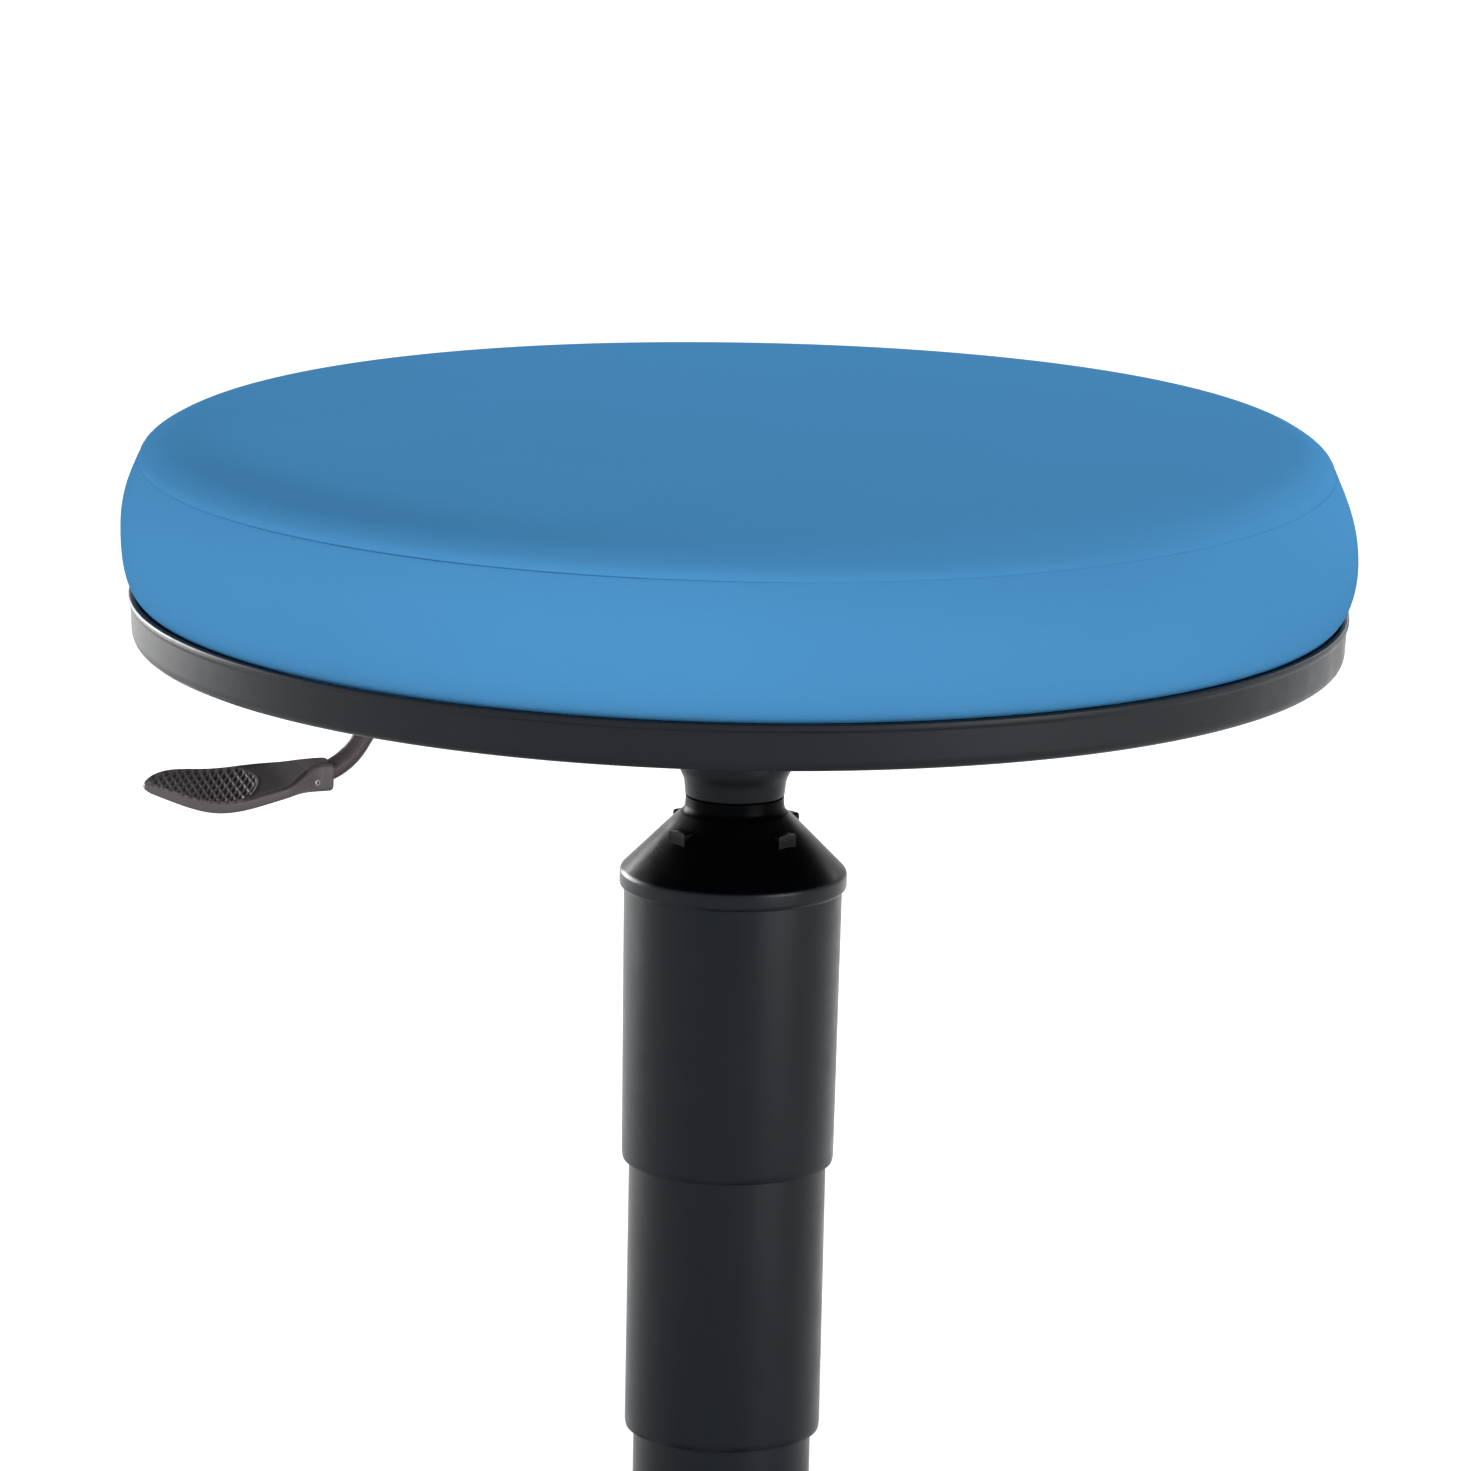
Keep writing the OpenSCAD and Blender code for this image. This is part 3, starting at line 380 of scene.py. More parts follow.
class Tree:
    """The nodes of a world or a material, added and joined by name."""

    def __init__(self, owner):
        owner.use_nodes = True
        self.tree = owner.node_tree
        self.tree.nodes.clear()

    def add(self, kind, *inputs, **settings):
        """A new shader node with some of its settings and its first inputs."""
        node = self.tree.nodes.new("ShaderNode" + kind)
        for key, value in settings.items():
            setattr(node, key, value)
        for socket, value in enumerate(inputs):
            self.value(node, socket, value)
        return node

    def value(self, node, socket, value):
        """Sets a socket, or joins it to another node's output, or to the first one of a node."""
        if isinstance(value, bpy.types.Node):
            value = value.outputs[0]
        if isinstance(value, bpy.types.NodeSocket):
            self.tree.links.new(value, node.inputs[socket])
        else:
            node.inputs[socket].default_value = value

    def white_rays(self):
        """1 for rays that see a white background: from the camera, from gloss and through glass."""
        path = self.add("LightPath").outputs
        total = path["Is Camera Ray"]
        for name in ("Is Glossy Ray", "Is Transmission Ray"):
            total = self.add("Math", total, path[name], operation="MAXIMUM")
        return total


class Nodes(Tree):
    """The nodes of one finish, with its shader and the place that its patterns read."""

    def __init__(self, name):
        self.material = bpy.data.materials.get(name) or bpy.data.materials.new(name)
        super().__init__(self.material)
        self.place = self.add("TexCoord").outputs["Object"]
        self.shader = self.add("BsdfPrincipled")
        self.add("OutputMaterial", self.shader)

    def height(self):
        """The height of a point over the floor when the stool is at rest."""
        return self.add("SeparateXYZ", self.place).outputs["Z"]

    def noise(self, size, detail=3.0, stretch=(1, 1, 1)):
        """Noise with blobs of about this size in metres, stretched along the axes."""
        move = self.add("Mapping", self.place)
        self.value(move, "Scale", stretch)
        node = self.add("TexNoise", move)
        self.value(node, "Scale", 1 / size)
        self.value(node, "Detail", detail)
        return node.outputs["Fac"]

    def cells(self, size):
        """Cell pattern with cells of about this size in metres."""
        node = self.add("TexVoronoi", self.place)
        self.value(node, "Scale", 1 / size)
        return node.outputs["Distance"]

    def attribute(self, name):
        """A number that the piece keeps for each of its points."""
        return self.add("Attribute", attribute_name=name).outputs["Fac"]

    def between(self, fac, low, high, from_low=0.3, from_high=0.7):
        """A number that runs from low to high as fac runs over its range."""
        return self.add("MapRange", fac, from_low, from_high, low, high)

    def sum(self, a, b, share):
        """a + share * b."""
        return self.add("Math", b, share, a, operation="MULTIPLY_ADD")

    def tint(self, fac, dark, light):
        """A colour between dark, which may be another tint, and light."""
        node = self.add("Mix", fac, data_type="RGBA")
        self.value(node, "A", dark if isinstance(dark, bpy.types.NodeSocket) else (*dark, 1))
        self.value(node, "B", (*light, 1))
        return node.outputs["Result"]

    def bump(self, height, depth):
        """Relief of this depth in metres."""
        node = self.add("Bump")
        self.value(node, "Height", height)
        self.value(node, "Distance", depth)
        self.value(self.shader, "Normal", node)

    def set(self, **values):
        """Sets or joins the shader's own sockets, and gives the finished material."""
        for key, value in values.items():
            self.value(self.shader, key.replace("_", " "), value)
        return self.material


def shades(tone, spread):
    """A darker and a lighter shade of a colour, or of a named finish's, apart by a share of it."""
    if isinstance(tone, str):
        tone = getattr(bpy.context.scene.stool_finish, tone)
    return tuple(c * (1 - spread) for c in tone), tuple(min(1, c * (1 + spread)) for c in tone)


def vinyl(name):
    """Coated upholstery vinyl: a fine leather grain of small cells and faint differences of shade,
    with painted shade where its hollow attribute says so, darkening a band inside the pad's rounded
    edge at the near left."""
    n = Nodes(name)
    dark, light = shades("vinyl", 0.025)
    grain = n.sum(n.cells(1.1 * MM), n.noise(0.45 * MM, 2.0), 0.5)
    n.bump(n.sum(grain, n.noise(14 * MM, 1.0), 0.35), 0.05 * MM)
    cloud = n.tint(n.noise(55 * MM, 2.0), dark, light)
    # Painted shade: the vinyl is 12 % darker in a band inside the near-left rounded edge, standing
    # for the shade on the slope that faces away from the light.
    shade = n.tint(n.attribute("hollow"), cloud, shades(dark, 0.12)[0])
    rough = n.between(n.noise(3 * MM), 0.52, 0.62)
    return n.set(Base_Color=shade, Roughness=rough, Specular_IOR_Level=0.0)


def moulded(base, rough, grain, depth, gloss=0.3, spread=0.12):
    """Moulded plastic: an eroded texture of this grain, faint flow shades and uneven gloss."""

    def make(name):
        n = Nodes(name)
        n.bump(n.sum(n.noise(grain, 2.0), n.cells(grain * 1.7), 0.6), depth)
        n.set(Base_Color=n.tint(n.noise(30 * MM, 3.0), *shades(base, spread)))
        roughness = n.between(n.noise(9 * MM, 4.0), rough - 0.04, rough + 0.05)
        return n.set(Roughness=roughness, Specular_IOR_Level=gloss)

    return make


def grip_plastic(name):
    """Grey moulded plastic with painted light and shade, as its ridge attribute says: painted shade
    between the grip's ridges and on its smooth upper face, and a painted highlight on the ridges."""
    n = Nodes(name)
    n.bump(n.noise(0.5 * MM, 2.0), 0.02 * MM)
    n.set(Base_Color=n.tint(n.attribute("ridge"), *shades("grip", 0.5)))
    return n.set(Roughness=n.between(n.noise(9 * MM, 4.0), 0.42, 0.52), Specular_IOR_Level=0.3)


def cap_plastic(name):
    """Moulded plastic of the cap: the tubes' colour on its lip, and the darker cap colour on its
    cone as painted shade from the seat above it, matt on its neck.
    """
    n = Nodes(name)
    finish = bpy.context.scene.stool_finish
    cone, shoulder, neck = (
        n.between(n.height(), 0.0, 1.0, *heights)
        for heights in (CAP_LOW.z + mm(5, 6), CAP_HIGH.z + mm(-5, -2), CAP_HIGH.z + mm(-0.2, 0.4))
    )
    n.bump(n.noise(0.5 * MM, 2.0), 0.012 * MM)
    # Painted shade: the cone, which faces up under the seat, gets a darker colour than the lip.
    n.set(Base_Color=n.tint(cone, finish.tube, finish.cap))
    gloss = n.sum(n.sum(n.sum(0.16, cone, -0.07), shoulder, 0.16), neck, -0.23)
    return n.set(Roughness=n.between(n.noise(9 * MM, 4.0), 0.26, 0.34), Specular_IOR_Level=gloss)


def painted(base, rough, gloss):
    """Powder-coated steel: fine orange peel on a dark satin coat."""

    def make(name):
        n = Nodes(name)
        n.bump(n.noise(0.9 * MM, 2.0), 0.03 * MM)
        n.set(Base_Color=n.tint(n.noise(12 * MM), *shades(base, 0.1)), Specular_IOR_Level=gloss)
        return n.set(Roughness=n.between(n.noise(5 * MM, 4.0), rough - 0.05, rough + 0.06))

    return make


def metal(tone, rough, stretch):
    """Bare steel: drawn or ground marks along one axis, with faint clouding."""

    def make(name):
        n = Nodes(name)
        marks = n.noise(1.2 * MM, 4.0, stretch)
        n.bump(marks, 0.01 * MM)
        n.set(Base_Color=n.tint(n.noise(8 * MM, 4.0), *shades(tone, 0.08)), Metallic=1.0)
        return n.set(Roughness=n.between(marks, rough, rough + 0.12))

    return make


def foam(name):
    """Open-cell foam: fine pores in a pale yellow block."""
    n = Nodes(name)
    pores = n.cells(0.9 * MM)
    n.bump(n.sum(pores, n.noise(0.5 * MM, 2.0), 0.6), 0.35 * MM)
    n.set(Base_Color=n.tint(pores, (0.62, 0.5, 0.26), (0.85, 0.73, 0.45)))
    return n.set(Roughness=0.95, Specular_IOR_Level=0.1)


def plywood(name):
    """Birch plywood: 1.2 mm plies that change from light to dark along Z, with grain along X."""
    n = Nodes(name)
    ply = n.add("Math", n.height(), 1.2 * MM, operation="PINGPONG")
    grain = n.noise(2.2 * MM, 5.0, (0.06, 1, 1))
    shade = n.sum(grain, n.between(ply, 0.0, 1.0, 0.3 * MM, 0.9 * MM), 0.25)
    n.bump(grain, 0.06 * MM)
    n.set(Base_Color=n.tint(shade, (0.36, 0.21, 0.1), (0.72, 0.53, 0.32)))
    return n.set(Roughness=n.between(grain, 0.55, 0.75))


FINISHES = {
    "seat_vinyl": vinyl,
    "foam": foam,
    "plywood": plywood,
    "tray_plastic": moulded("tray", 0.38, 0.5 * MM, 0.012 * MM, gloss=0.2),
    "tube_plastic": moulded("tube", 0.33, 0.6 * MM, 0.012 * MM, gloss=0.16),
    "cap_plastic": cap_plastic,
    "base_plastic": moulded("base", 0.56, 0.8 * MM, 0.05 * MM, gloss=0.16),
    "castor_plastic": moulded("base", 0.44, 0.6 * MM, 0.02 * MM, gloss=0.25),
    "wheel_plastic": moulded("base", 0.4, 0.6 * MM, 0.015 * MM, gloss=0.3),
    "tread": moulded("tread", 0.62, 0.7 * MM, 0.05 * MM, gloss=0.3, spread=0.2),
    "grip_plastic": grip_plastic,
    "bush_plastic": moulded("steel", 0.4, 0.6 * MM, 0.02 * MM, gloss=0.4),
    "black_steel": painted("steel", 0.34, 0.12),
    "cylinder_black": painted("cap", 0.3, 0.08),
    "lever_steel": painted("rod", 0.4, 0.35),
    "bright_steel": metal((0.62, 0.63, 0.65), 0.24, (1, 1, 0.1)),
    "screw_steel": metal((0.24, 0.22, 0.22), 0.36, (1, 1, 0.1)),
    "chrome_rod": metal((0.72, 0.73, 0.75), 0.07, (1, 1, 0.05)),
    "bumper_rubber": moulded("base", 0.7, 0.5 * MM, 0.04 * MM, gloss=0.25),
}
NODE_FINISHES = {
    "seat_board": "plywood",
    "seat_plate": "black_steel",
    "lever_bracket": "black_steel",
    "lever_trunnion": "black_steel",
    "stand_tube": "black_steel",
    "pressure_cylinder": "cylinder_black",
    "guide_bush": "bush_plastic",
    "rod_guide": "bush_plastic",
    "bearing_cage": "bush_plastic",
    "rod_bumper": "bumper_rubber",
    "piston_rod": "chrome_rod",
    "grip_screw": "screw_steel",
}


# The seat


def pad_outlines():
    """The pad's outline as (r, z) points: the side from the fold under the board up to the seam,
    and the top from the seam over the rounded edge, and on it z = edge + crown (1 - (r / R)^2),
    where R is the edge's radius."""
    s = bpy.context.scene.stool_seat
    rim = TRAY_HIGH.z
    foot = np.array([BOARD_HIGH.x + 1.5 * MM, BOARD_HIGH.z - 1 * MM])
    base = np.array([s.tray_radius - 2.3 * MM, rim + 0.6 * MM])
    bulge = np.array([s.radius, rim + 21 * MM])
    seam = np.array([s.seam_radius, s.seam_height])
    edge = np.array([s.radius - 42 * MM, s.crown_height - s.crown])
    slope = 2 * s.crown / edge[0]
    shoulder = np.array([s.radius - 12.2 * MM, s.seam_height + 6.9 * MM])
    side = [
        bezier(foot, foot + mm(1, 0.5), base - mm(1.5, 1.5), base, 5)[:-1],
        bezier(base, base + mm(4.06, 4), bulge - mm(0, 8), bulge, 12)[:-1],
        bezier(bulge, bulge + mm(0, 9), seam + mm(2.6, -5.2), seam, 14),
        seam - [[s.tuck * 0.4, 0.05 * MM], [s.tuck, 0.1 * MM]],
    ]
    r = edge[0] * (1 - np.linspace(0, 1, 15)[1:])
    top = [
        seam - [[s.tuck, -0.1 * MM], [s.tuck * 0.4, -0.05 * MM]],
        bezier(seam, seam + mm(-0.4, 3.4), shoulder + mm(3.1, -1.7), shoulder, 12)[:-1],
        bezier(shoulder, shoulder + mm(-6, 3.0), edge + mm(13.5, -13.5 * slope), edge, 12),
        stacked(r, edge[1] + s.crown * (1 - (r / edge[0]) ** 2)),
    ]
    return np.concatenate(side), np.concatenate(top)


def facing(angle, degrees):
    """0.5 + 0.5 cos(a - degrees): 1 for the angles that face this way and 0 behind the column."""
    return 0.5 + 0.5 * np.cos(angle - math.radians(degrees))


def seam_depth(angle):
    """How deep the seam lies, deepest at the near left of the photograph's view: 0.08 + 0.92
    facing^4, with small changes."""
    near = facing(angle, -140)
    return np.minimum(1, 0.08 + 0.92 * near**4 + 0.04 * np.sin(17 * angle) * np.sin(5 * angle + 1))


def puckered(grid, reach, closing):
    """Moves points along the radius: gathers pucker * sin(118 a + 3 sin(7 a)) that fade with the
    distance d from the seam as exp(-(d / reach)^2). Where the seam is shallow its tuck is let out,
    and the edge moves by the closing height, against the other panel's."""
    s = bpy.context.scene.stool_seat
    angle, radius = polar(grid)
    over = grid[..., 2] - s.seam_height
    away = np.hypot(radius - s.seam_radius, over)
    gathers = np.sin(118 * angle + 3 * np.sin(7 * angle)) * s.pucker * bell(away, reach)
    gathers *= np.minimum(1, away / (1.2 * MM))
    shallow = 1 - seam_depth(angle)
    filled = shallow * np.maximum(0, s.seam_radius - radius) * bell(over, 0.8 * MM)
    out = stacked(np.cos(angle), np.sin(angle), 0) * (gathers + filled)[..., None]
    out[..., 2] += closing * shallow * bell(away, 2 * MM)
    return grid + out


def settled(grid, held):
    """Lets the surface swell as a cloth for some frames, held where held is true, takes out each
    ring's mean movement, and adds the rest back, no point moving further than most."""
    frames, most = 14, 0.5 * MM
    mesh = plain_mesh("settling", *closed_tube(grid))
    obj = bpy.data.objects.new("settling", mesh)
    scene = bpy.context.scene
    scene.collection.objects.link(obj)
    pins = obj.vertex_groups.new(name="held")
    pins.add(np.flatnonzero(held.ravel()).tolist(), 1.0, "REPLACE")
    cloth = obj.modifiers.new("cloth", "CLOTH")
    rules = cloth.settings
    rules.vertex_group_mass = "held"
    rules.use_pressure = True
    rules.uniform_pressure_force = 1.5
    rules.effector_weights.gravity = 0
    rules.quality = 4
    rules.tension_stiffness = rules.compression_stiffness = 40
    rules.shear_stiffness = 20
    cloth.collision_settings.use_collision = False
    for number in range(1, frames + 1):
        scene.frame_set(number)
    found = vertex_data(obj.evaluated_get(bpy.context.evaluated_depsgraph_get()))
    scene.frame_set(1)
    bpy.data.objects.remove(obj)
    bpy.data.meshes.remove(mesh)
    move = np.nan_to_num(found.reshape(grid.shape).astype(float) - grid)
    flat = grid * (1, 1, 0)
    outward = flat / np.maximum(np.linalg.norm(flat, axis=-1, keepdims=True), 1e-6)
    along = (move * outward).sum(-1, keepdims=True)
    upward = move[..., 2:].mean(1, keepdims=True) * (0, 0, 1)
    move -= along.mean(1, keepdims=True) * outward + upward
    size = np.linalg.norm(move, axis=-1, keepdims=True)
    return grid + move * np.minimum(1, most / np.maximum(size, 1e-9))


def valley_and_painted_shade(grid):
    """How deep a point lies in the valley inside the pad's rounded edge at the near left, facing^6 *
    exp(-(d / w)^2), where d is the distance from the radius of its floor, and w is 16 mm towards the
    centre and 5 mm towards the edge. The same share sets how much painted shade the vinyl gets
    there."""
    angle, radius = polar(grid)
    outside = radius - (bpy.context.scene.stool_seat.radius - 15 * MM)
    return facing(angle, -160) ** 6 * bell(outside, np.where(outside > 0, 5 * MM, 16 * MM))


def leaning(grid):
    """Lifts points by lean * share^2 * height, where share runs from 0 at the column to 1 at the
    pad's edge towards -8 degrees, and height from 0 at the tray's rim to 1 at the crown. Then draws
    the upper edge in by slack * share^4 * rise towards -20 degrees, where rise runs from 0 at the
    bulge to 1 at the seam."""
    s = bpy.context.scene.stool_seat
    bulge, to_seam = 474 * MM, 32 * MM

    def share(degrees):
        a = math.radians(degrees)
        across = (grid[..., 0] * math.cos(a) + grid[..., 1] * math.sin(a)) / s.radius
        return np.maximum(across, 0)

    high = ramp((grid[..., 2] - TRAY_HIGH.z) / (s.crown_height - TRAY_HIGH.z))
    drawn = s.slack * share(-20) ** 4 * ease((grid[..., 2] - bulge) / to_seam)
    inward = grid * (1, 1, 0) * (drawn / s.radius)[..., None]
    return grid - inward + stacked(0, 0, s.lean * share(-8) ** 2 * high)


def cover_panel(name, path, reach, closing, valley, seam_row, held_rows, edges):
    """One panel of the cover: its outline spun, gathered at the seam, and settled with held_rows
    and every second point of the seam's row held, over an inner face at the vinyl's thickness."""
    s = bpy.context.scene.stool_seat
    count = 240
    outer = puckered(turned(path, count), reach, closing)
    outer[..., 2] -= valley * valley_and_painted_shade(outer)
    held = np.zeros(outer.shape[:2], bool)
    held[seam_row, ::2] = held[held_rows] = True
    lining = moved_aside(path, s.cover)
    lining[path[:, 0] == 0, 0] = 0
    inner = leaning(turned(lining, count))
    wall = sheet_with_wall(leaning(settled(outer, held)), inner, edges, wrap_columns=True)
    cover = piece("seat_" + name, [wall], "seat_vinyl", "seat", ["cover_" + name], 60)
    soft = cover.modifiers.new("soft", "SUBSURF")
    soft.levels = soft.render_levels = 1
    return cover


class SewSeatPad(bpy.types.Operator):
    """Makes the upholstered pad: vinyl top panel, side band and foam"""

    bl_idname = "stool.sew_seat_pad"
    bl_label = "Seat pad"

    def execute(self, context):
        s = context.scene.stool_seat
        side, top = pad_outlines()
        closing, both = 0.45 * MM, ["first_row", "last_row"]
        cover = cover_panel("top_panel", top, 7 * MM, -closing, s.valley, 0, -1, both[:1])
        # Painted shade for the vinyl: the valley's share is kept on the points and darkens the
        # colour there.
        marked(cover, "hollow", valley_and_painted_shade(vertex_data(cover)))

        under, edge = BAND_LOW.z, BOARD_HIGH.x
        fold = [[edge - 28 * MM, under], [edge - 12 * MM, under], [edge + 0.3 * MM, under]]
        fold += [[edge + 1.2 * MM, under + 0.4 * MM], [edge + 1.5 * MM, under + 1.6 * MM]]
        path = np.concatenate([fold, side])
        folded_rows = slice(len(fold) + 6)
        cover_panel("side_band", path, 9 * MM, closing, 0.0, -1, folded_rows, both)

        gap = s.cover + 0.3 * MM
        floor = [[0, BOARD_HIGH.z], [edge - 1 * MM, BOARD_HIGH.z]]
        block = [floor, moved_aside(side, gap)[6:-2], moved_aside(top, gap)[2:-1]]
        profile = np.concatenate([*block, [[0, s.crown_height - gap]]])
        cushion = closed_tube(leaning(turned(profile, 128)))
        piece("seat_foam", [cushion], "foam", "seat", ["foam_pad"])
        return {"FINISHED"}


class MouldTray(bpy.types.Operator):
    """Makes the black tray under the pad, with its rounded foot and rim"""

    bl_idname = "stool.mould_tray"
    bl_label = "Tray"

    def execute(self, context):
        s = context.scene.stool_seat
        low, rim, foot, edge, wall = TRAY_LOW.z, TRAY_HIGH.z, s.tray_foot, s.tray_radius, 2 * MM
        corners = [[foot - 5 * MM, low], [foot, low], [edge - 0.6 * MM, rim - 2.4 * MM]]
        corners += [[edge, rim - 1.8 * MM], [edge, rim], [edge - wall, rim]]
        corners += [[foot - wall, low + wall], [foot - 8 * MM, low + wall]]
        rounded = softened(corners, mm(0.5, 3.8, 0.4, 0.4, 0.7, 0.4, 3, 0.5), 8)
        shell = closed_tube(turned(np.concatenate([[[0, low]], rounded, [[0, low + wall]]]), 256))
        piece("tray_shell", [shell], "tray_plastic", "seat", ["seat_tray"])
        return {"FINISHED"}


# The column


def cover_tube(foot, top, foot_radius, top_radius, wall):
    """A thin tube: a closed outline with a rounded, turned-in foot, spun round the column."""
    inner, edge = foot_radius - wall, 0.5 * MM
    corners = [[inner - edge, foot], [foot_radius - edge, foot], [foot_radius, foot + 1.6 * MM]]
    corners += [[top_radius, top], [top_radius - wall, top], [inner, foot + 1.8 * MM]]
    return closed_ring(turned(softened(corners, mm(0.3, 1.2, 1.2, 0.4, 0.3, 0.5), 6), 192))


class FitColumnCover(bpy.types.Operator):
    """Makes the three cover tubes and the conical cap with its grip tabs"""

    bl_idname = "stool.fit_column_cover"
    bl_label = "Column cover"

    def execute(self, context):
        c = context.scene.stool_column
        for word, body, foot_radius, top_radius in (
            ("upper", "seat", c.upper - 0.85 * MM, c.upper),
            ("middle", "cover_middle", c.middle, c.middle + 0.2 * MM),
            ("lower", "base", c.lower, c.lower),
        ):
            low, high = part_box(f"cover_tube_{word}")
            tube = cover_tube(low.z, high.z, foot_radius, top_radius, c.wall)
            piece(f"tube_{word}", [tube], "tube_plastic", body, [f"cover_tube_{word}"])

        low, top = CAP_LOW.z, CAP_HIGH.z
        lip, neck, high = c.lip_radius, c.neck_radius, top + c.collar
        outside = [[lip - 0.8 * MM, low], [lip, low + 1 * MM], [lip, low + 5.6 * MM]]
        outside += [[18.4 * MM, top - 1 * MM], [neck, top + 1.2 * MM], [neck - 0.3 * MM, high]]
        bore, mouth, shelf = 14.05 * MM, 33.95 * MM, low + 2.4 * MM
        inside = [[bore, high], [bore, top - 8.8 * MM], [bore + 2.2 * MM, top - 9.8 * MM]]
        inside += [[mouth - 1.6 * MM, shelf], [mouth, shelf], [mouth, low]]
        rounded = softened(outside, mm(0.2, 0.5, 1.1, 3.2, 1.6, 0.25), 8)
        parts = [closed_ring(turned(np.concatenate([rounded, inside]), 192))]
        corners = [[-3.6, -2.6], [3.6, -2.6], [3.6, 2.2], [-3.6, 2.2]]
        tab = bar(mm(17.5, 23.4, 24.2), softened(corners, 0.9, 4) * MM + [0, top - 5.2 * MM])
        parts += [placed(tab, about_z(23 + 90 * quarter)) for quarter in range(4)]
        piece("cap", parts, "cap_plastic", "seat", ["cover_cap"])
        return {"FINISHED"}


class WeldSocket(bpy.types.Operator):
    """Makes the socket under the seat with its collar and weld bead"""

    bl_idname = "stool.weld_socket"
    bl_label = "Gas spring socket"

    def execute(self, context):
        low, top = CAP_HIGH.z + context.scene.stool_column.collar + 0.2 * MM, SOCKET_HIGH.z
        collar, narrow = SOCKET_HIGH.x + 0.6 * MM, SOCKET_HIGH.x - 1.5 * MM
        corners = [[14.08 * MM, low], [narrow - 0.1 * MM, low], [narrow + 0.4 * MM, low + 5 * MM]]
        corners += [[collar, low + 8.5 * MM], [collar, top - 0.2 * MM], [13.3 * MM, top]]
        tube = closed_ring(turned(softened(corners, mm(0.3, 0.6, 1.2, 1.4, 0.3, 0.2), 6), 128))
        a, b = full_turn(240)[:, None], full_turn(12)
        size = (1.7 + 0.25 * np.cos(60 * a)) * MM
        r = collar + 0.2 * MM + size * np.cos(b)
        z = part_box("seat_plate")[0].z - 0.1 * MM + size * np.sin(b)
        bead = closed_ring(stacked(r * np.cos(a), r * np.sin(a), z))
        piece("socket", [tube, bead], "black_steel", "seat", ["taper_socket"])
        return {"FINISHED"}


# The lever


def lever_path():
    """The rod's middle line in the XZ plane, the running sum of (-cos dip, 0, -sin dip): its dip is
    level at first, then 58 degrees, then 2 degrees, with bends of 20 mm radius."""
    steep, low = math.radians(58), math.radians(2)
    level, radius, slope, last = 102.6, 20, 4.8, 2
    lengths = np.cumsum([0, level, radius * steep, slope, radius * (steep - low), last]) * MM
    along = np.linspace(0, lengths[-1], 400)
    dip = np.interp(along, lengths, [0, 0, steep, steep, low, low])
    step = along[1] * stacked(-np.cos(dip), 0, -np.sin(dip))
    start = np.array([0, 0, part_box("lever_trunnion")[0].z + 5.5 * MM])
    return start + np.cumsum(step, 0) - step[:1]


def knurled_part(y):
    """Where the grip's ridged part starts and stops along X, at y from its middle line."""
    g = bpy.context.scene.stool_lever
    share = y / (0.5 * g.width)
    return -0.40 * g.length - 6 * MM * share**2 + 2 * MM * share, -0.96 * g.length


def crossing_ridges(x, y):
    """1 on thin ridges along x = k * pitch and x - 0.73 y = k * pitch, falling to 0 beside them."""
    pitch = bpy.context.scene.stool_lever.knurl
    both = stacked(x, x - 0.73 * y)
    return ramp(1.35 - 5 * np.abs((both / pitch) % 1 - 0.5)).max(-1)


def box_outline():
    """A rounded box as rows (across, up, out, over): a point lies at (across, up) of the half sizes
    less the corner's radius, and at (out, over) of that radius from there."""
    across = np.linspace(1, -1, 121)[1:-1]
    below = np.linspace(-1, 1, 13)[1:-1]
    arc = np.radians(np.linspace(0, 90, 7))
    cos, sin = np.cos(arc), np.sin(arc)
    runs = [(1.0, 1.0, cos, sin), (across, 1.0, 0.0, 1.0), (-1.0, 1.0, -sin, cos)]
    runs += [(-1.0, -1.0, -cos, -sin), (below, -1.0, 0.0, -1.0), (1.0, -1.0, sin, -cos)]
    return np.concatenate([stacked(*run) for run in runs]).T


def grip_relief(u, x, y, half_w):
    """The relief on the grip's top: a field of crossing ridges inside a raised rim that closes
    before and behind it, all in a shallow dish."""
    g = bpy.context.scene.stool_lever
    inset = half_w - np.abs(y)
    inner = ramp((inset - 1.0 * MM) / (0.5 * MM))
    start, stop = knurled_part(y)
    field = ramp((inset - 2.2 * MM) / (0.4 * MM))
    field = field * ramp((start - x) / (0.5 * MM)) * ramp((x - stop) / (0.5 * MM))
    rim = bell(inset - 1.2 * MM, 0.7 * MM) * ramp((-0.22 * g.length - x) / (12 * MM))
    rim = rim * ramp(half_w / (g.width / 2))
    before, behind = bell(start + 0.7 * MM - x, 0.6 * MM), bell(x - stop + 0.2 * MM, 0.7 * MM)
    cross = before * inner + behind * inner
    dish = 0.5 * MM * ramp((inset - 1.0 * MM) / (4 * MM)) * ease((u - 0.35) / 0.2)
    ridges = field * (crossing_ridges(x, y) * g.knurl_depth - 0.3 * MM)
    return ridges + 0.28 * MM * np.maximum(rim, cross) - dish


